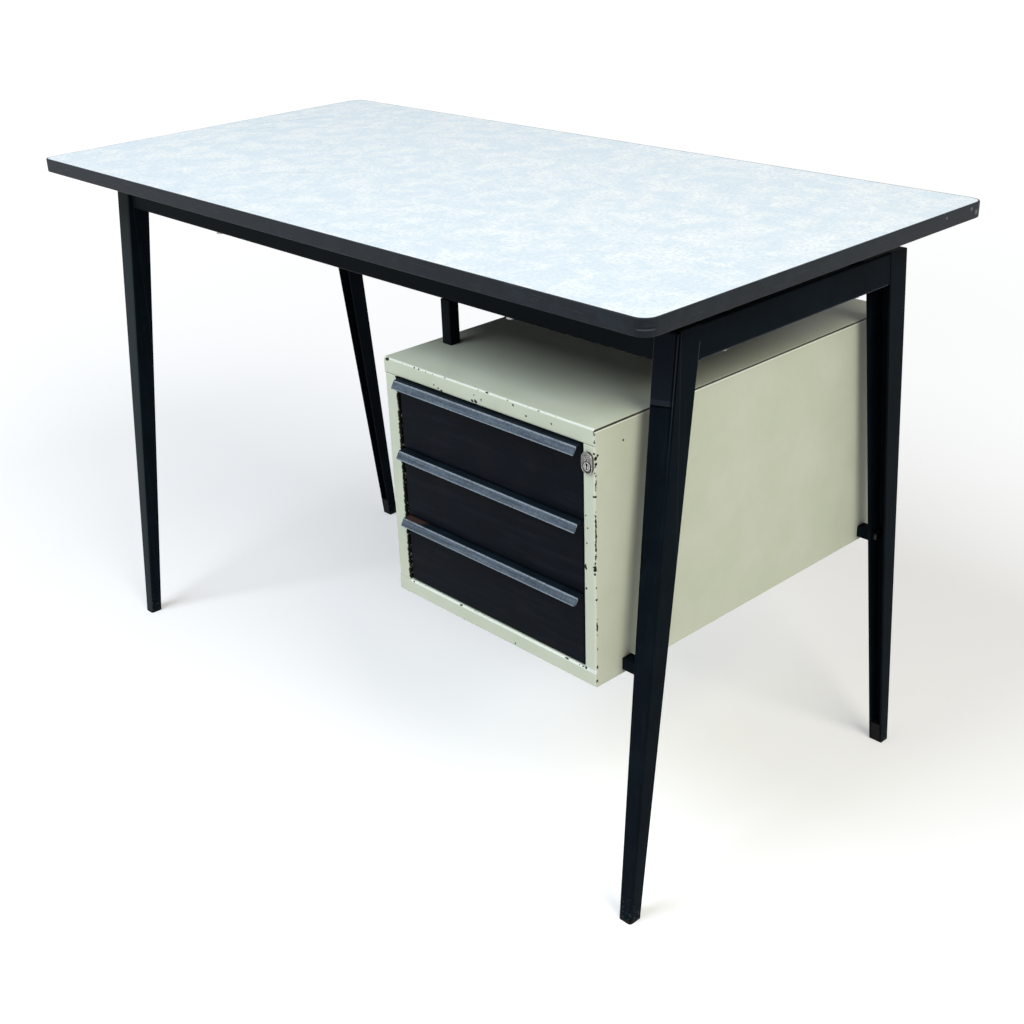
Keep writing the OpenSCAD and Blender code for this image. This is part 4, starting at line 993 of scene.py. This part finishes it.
# Studio: a plain pale floor and a white world, as a camera, a glossy surface or a clear one
# sees them, with soft light at a level where a colour renders about as it is written.
def looked_at(tree):
    """1 for what a camera, a glossy surface or a clear one sees, 0 for the light on things."""
    path = add_node(tree, "LightPath", {}, {})
    seen = path["Is Camera Ray"]
    for ray in ("Is Glossy Ray", "Is Transmission Ray"):
        seen = add_node(tree, "Math", {"operation": "MAXIMUM"}, {0: seen, 1: path[ray]})[0]
    return seen


white_floor, tree, shader, place = new_finish("matt_white_studio_floor")
shader.inputs["Base Color"].default_value = linear("#eeeeee")
shader.inputs["Roughness"].default_value = 0.9
shader.inputs["Specular IOR Level"].default_value = 0.0
away = add_node(tree, "VectorMath", {"operation": "LENGTH"}, {0: place})["Value"]
# the floor grows whiter from 0.9 m to 5 m away, as a swept backdrop does
glow = add_node(
    tree,
    "MapRange",
    {"From Min": 0.9, "From Max": 5.0, "To Min": 0.34, "To Max": 0.9},
    {"Value": away},
)[0]
glow = add_node(tree, "Math", {"operation": "MULTIPLY"}, {0: looked_at(tree), 1: glow})[0]
shader.inputs["Emission Color"].default_value = (1, 1, 1, 1)
tree.links.new(glow, shader.inputs["Emission Strength"])
deselect()
bpy.ops.mesh.primitive_plane_add(size=80, location=(0, 0, 0))
floor = bpy.context.object
floor.name = "studio_floor"
floor.data.materials.append(white_floor)

world = bpy.data.worlds.new("white_studio")
bpy.context.scene.world = world
world.use_nodes = True
sky = world.node_tree
level = add_node(sky, "MapRange", {"To Min": 0.18, "To Max": 1.0}, {"Value": looked_at(sky)})[0]
sky.nodes["Background"].inputs["Color"].default_value = (1, 1, 1, 1)
sky.links.new(level, sky.nodes["Background"].inputs["Strength"])


def soft_lamp(name, place, target, size, power, hue):
    """A square area lamp that looks at a point."""
    lamp = bpy.data.lights.new(name, "AREA")
    lamp.size = size
    lamp.energy = power
    lamp.color = linear(hue)[:3]
    held = bpy.data.objects.new(name, lamp)
    bpy.context.scene.collection.objects.link(held)
    held.location = place
    held.rotation_euler = (Vector(target) - Vector(place)).to_track_quat("-Z", "Y").to_euler()


soft_lamp("front_light", (-0.6, -2.8, 3.9), (0, 0, 0.6), 2.4, 141, "#ebf5ff")
soft_lamp("right_light", (3.6, -0.7, 3.5), (0.2, 0, 0.6), 2.4, 120, "#fffbf0")

# Camera: stands where the photograph was taken from, a little above the desk, off its right
# front corner. Its turn and place come from the photograph's straight edges.
AZIMUTH, ELEVATION, ROLL = (math.radians(a) for a in (-48.444, -26.385, -2.547))
CAMERA_AT = Vector((1447.78, -1262.93, 1189.52)) * MM
ahead = Vector((math.sin(AZIMUTH), math.cos(AZIMUTH), 0)) * math.cos(ELEVATION)
ahead.z = math.sin(ELEVATION)
level_right = Vector((math.cos(AZIMUTH), -math.sin(AZIMUTH), 0))
level_up = level_right.cross(ahead)
right = level_right * math.cos(ROLL) + level_up * math.sin(ROLL)
up = level_up * math.cos(ROLL) - level_right * math.sin(ROLL)
view = bpy.data.cameras.new("photo_camera")
view.sensor_width = 36.0
view.lens = 50.17
view.shift_x, view.shift_y = 0.0255, 0.0203
view.clip_end = 200
camera = bpy.data.objects.new("photo_camera", view)
bpy.context.scene.collection.objects.link(camera)
turn = Matrix((right, up, -ahead)).transposed().to_4x4()
camera.matrix_world = Matrix.Translation(CAMERA_AT) @ turn
bpy.context.scene.camera = camera
bpy.context.scene.view_settings.view_transform = "Standard"
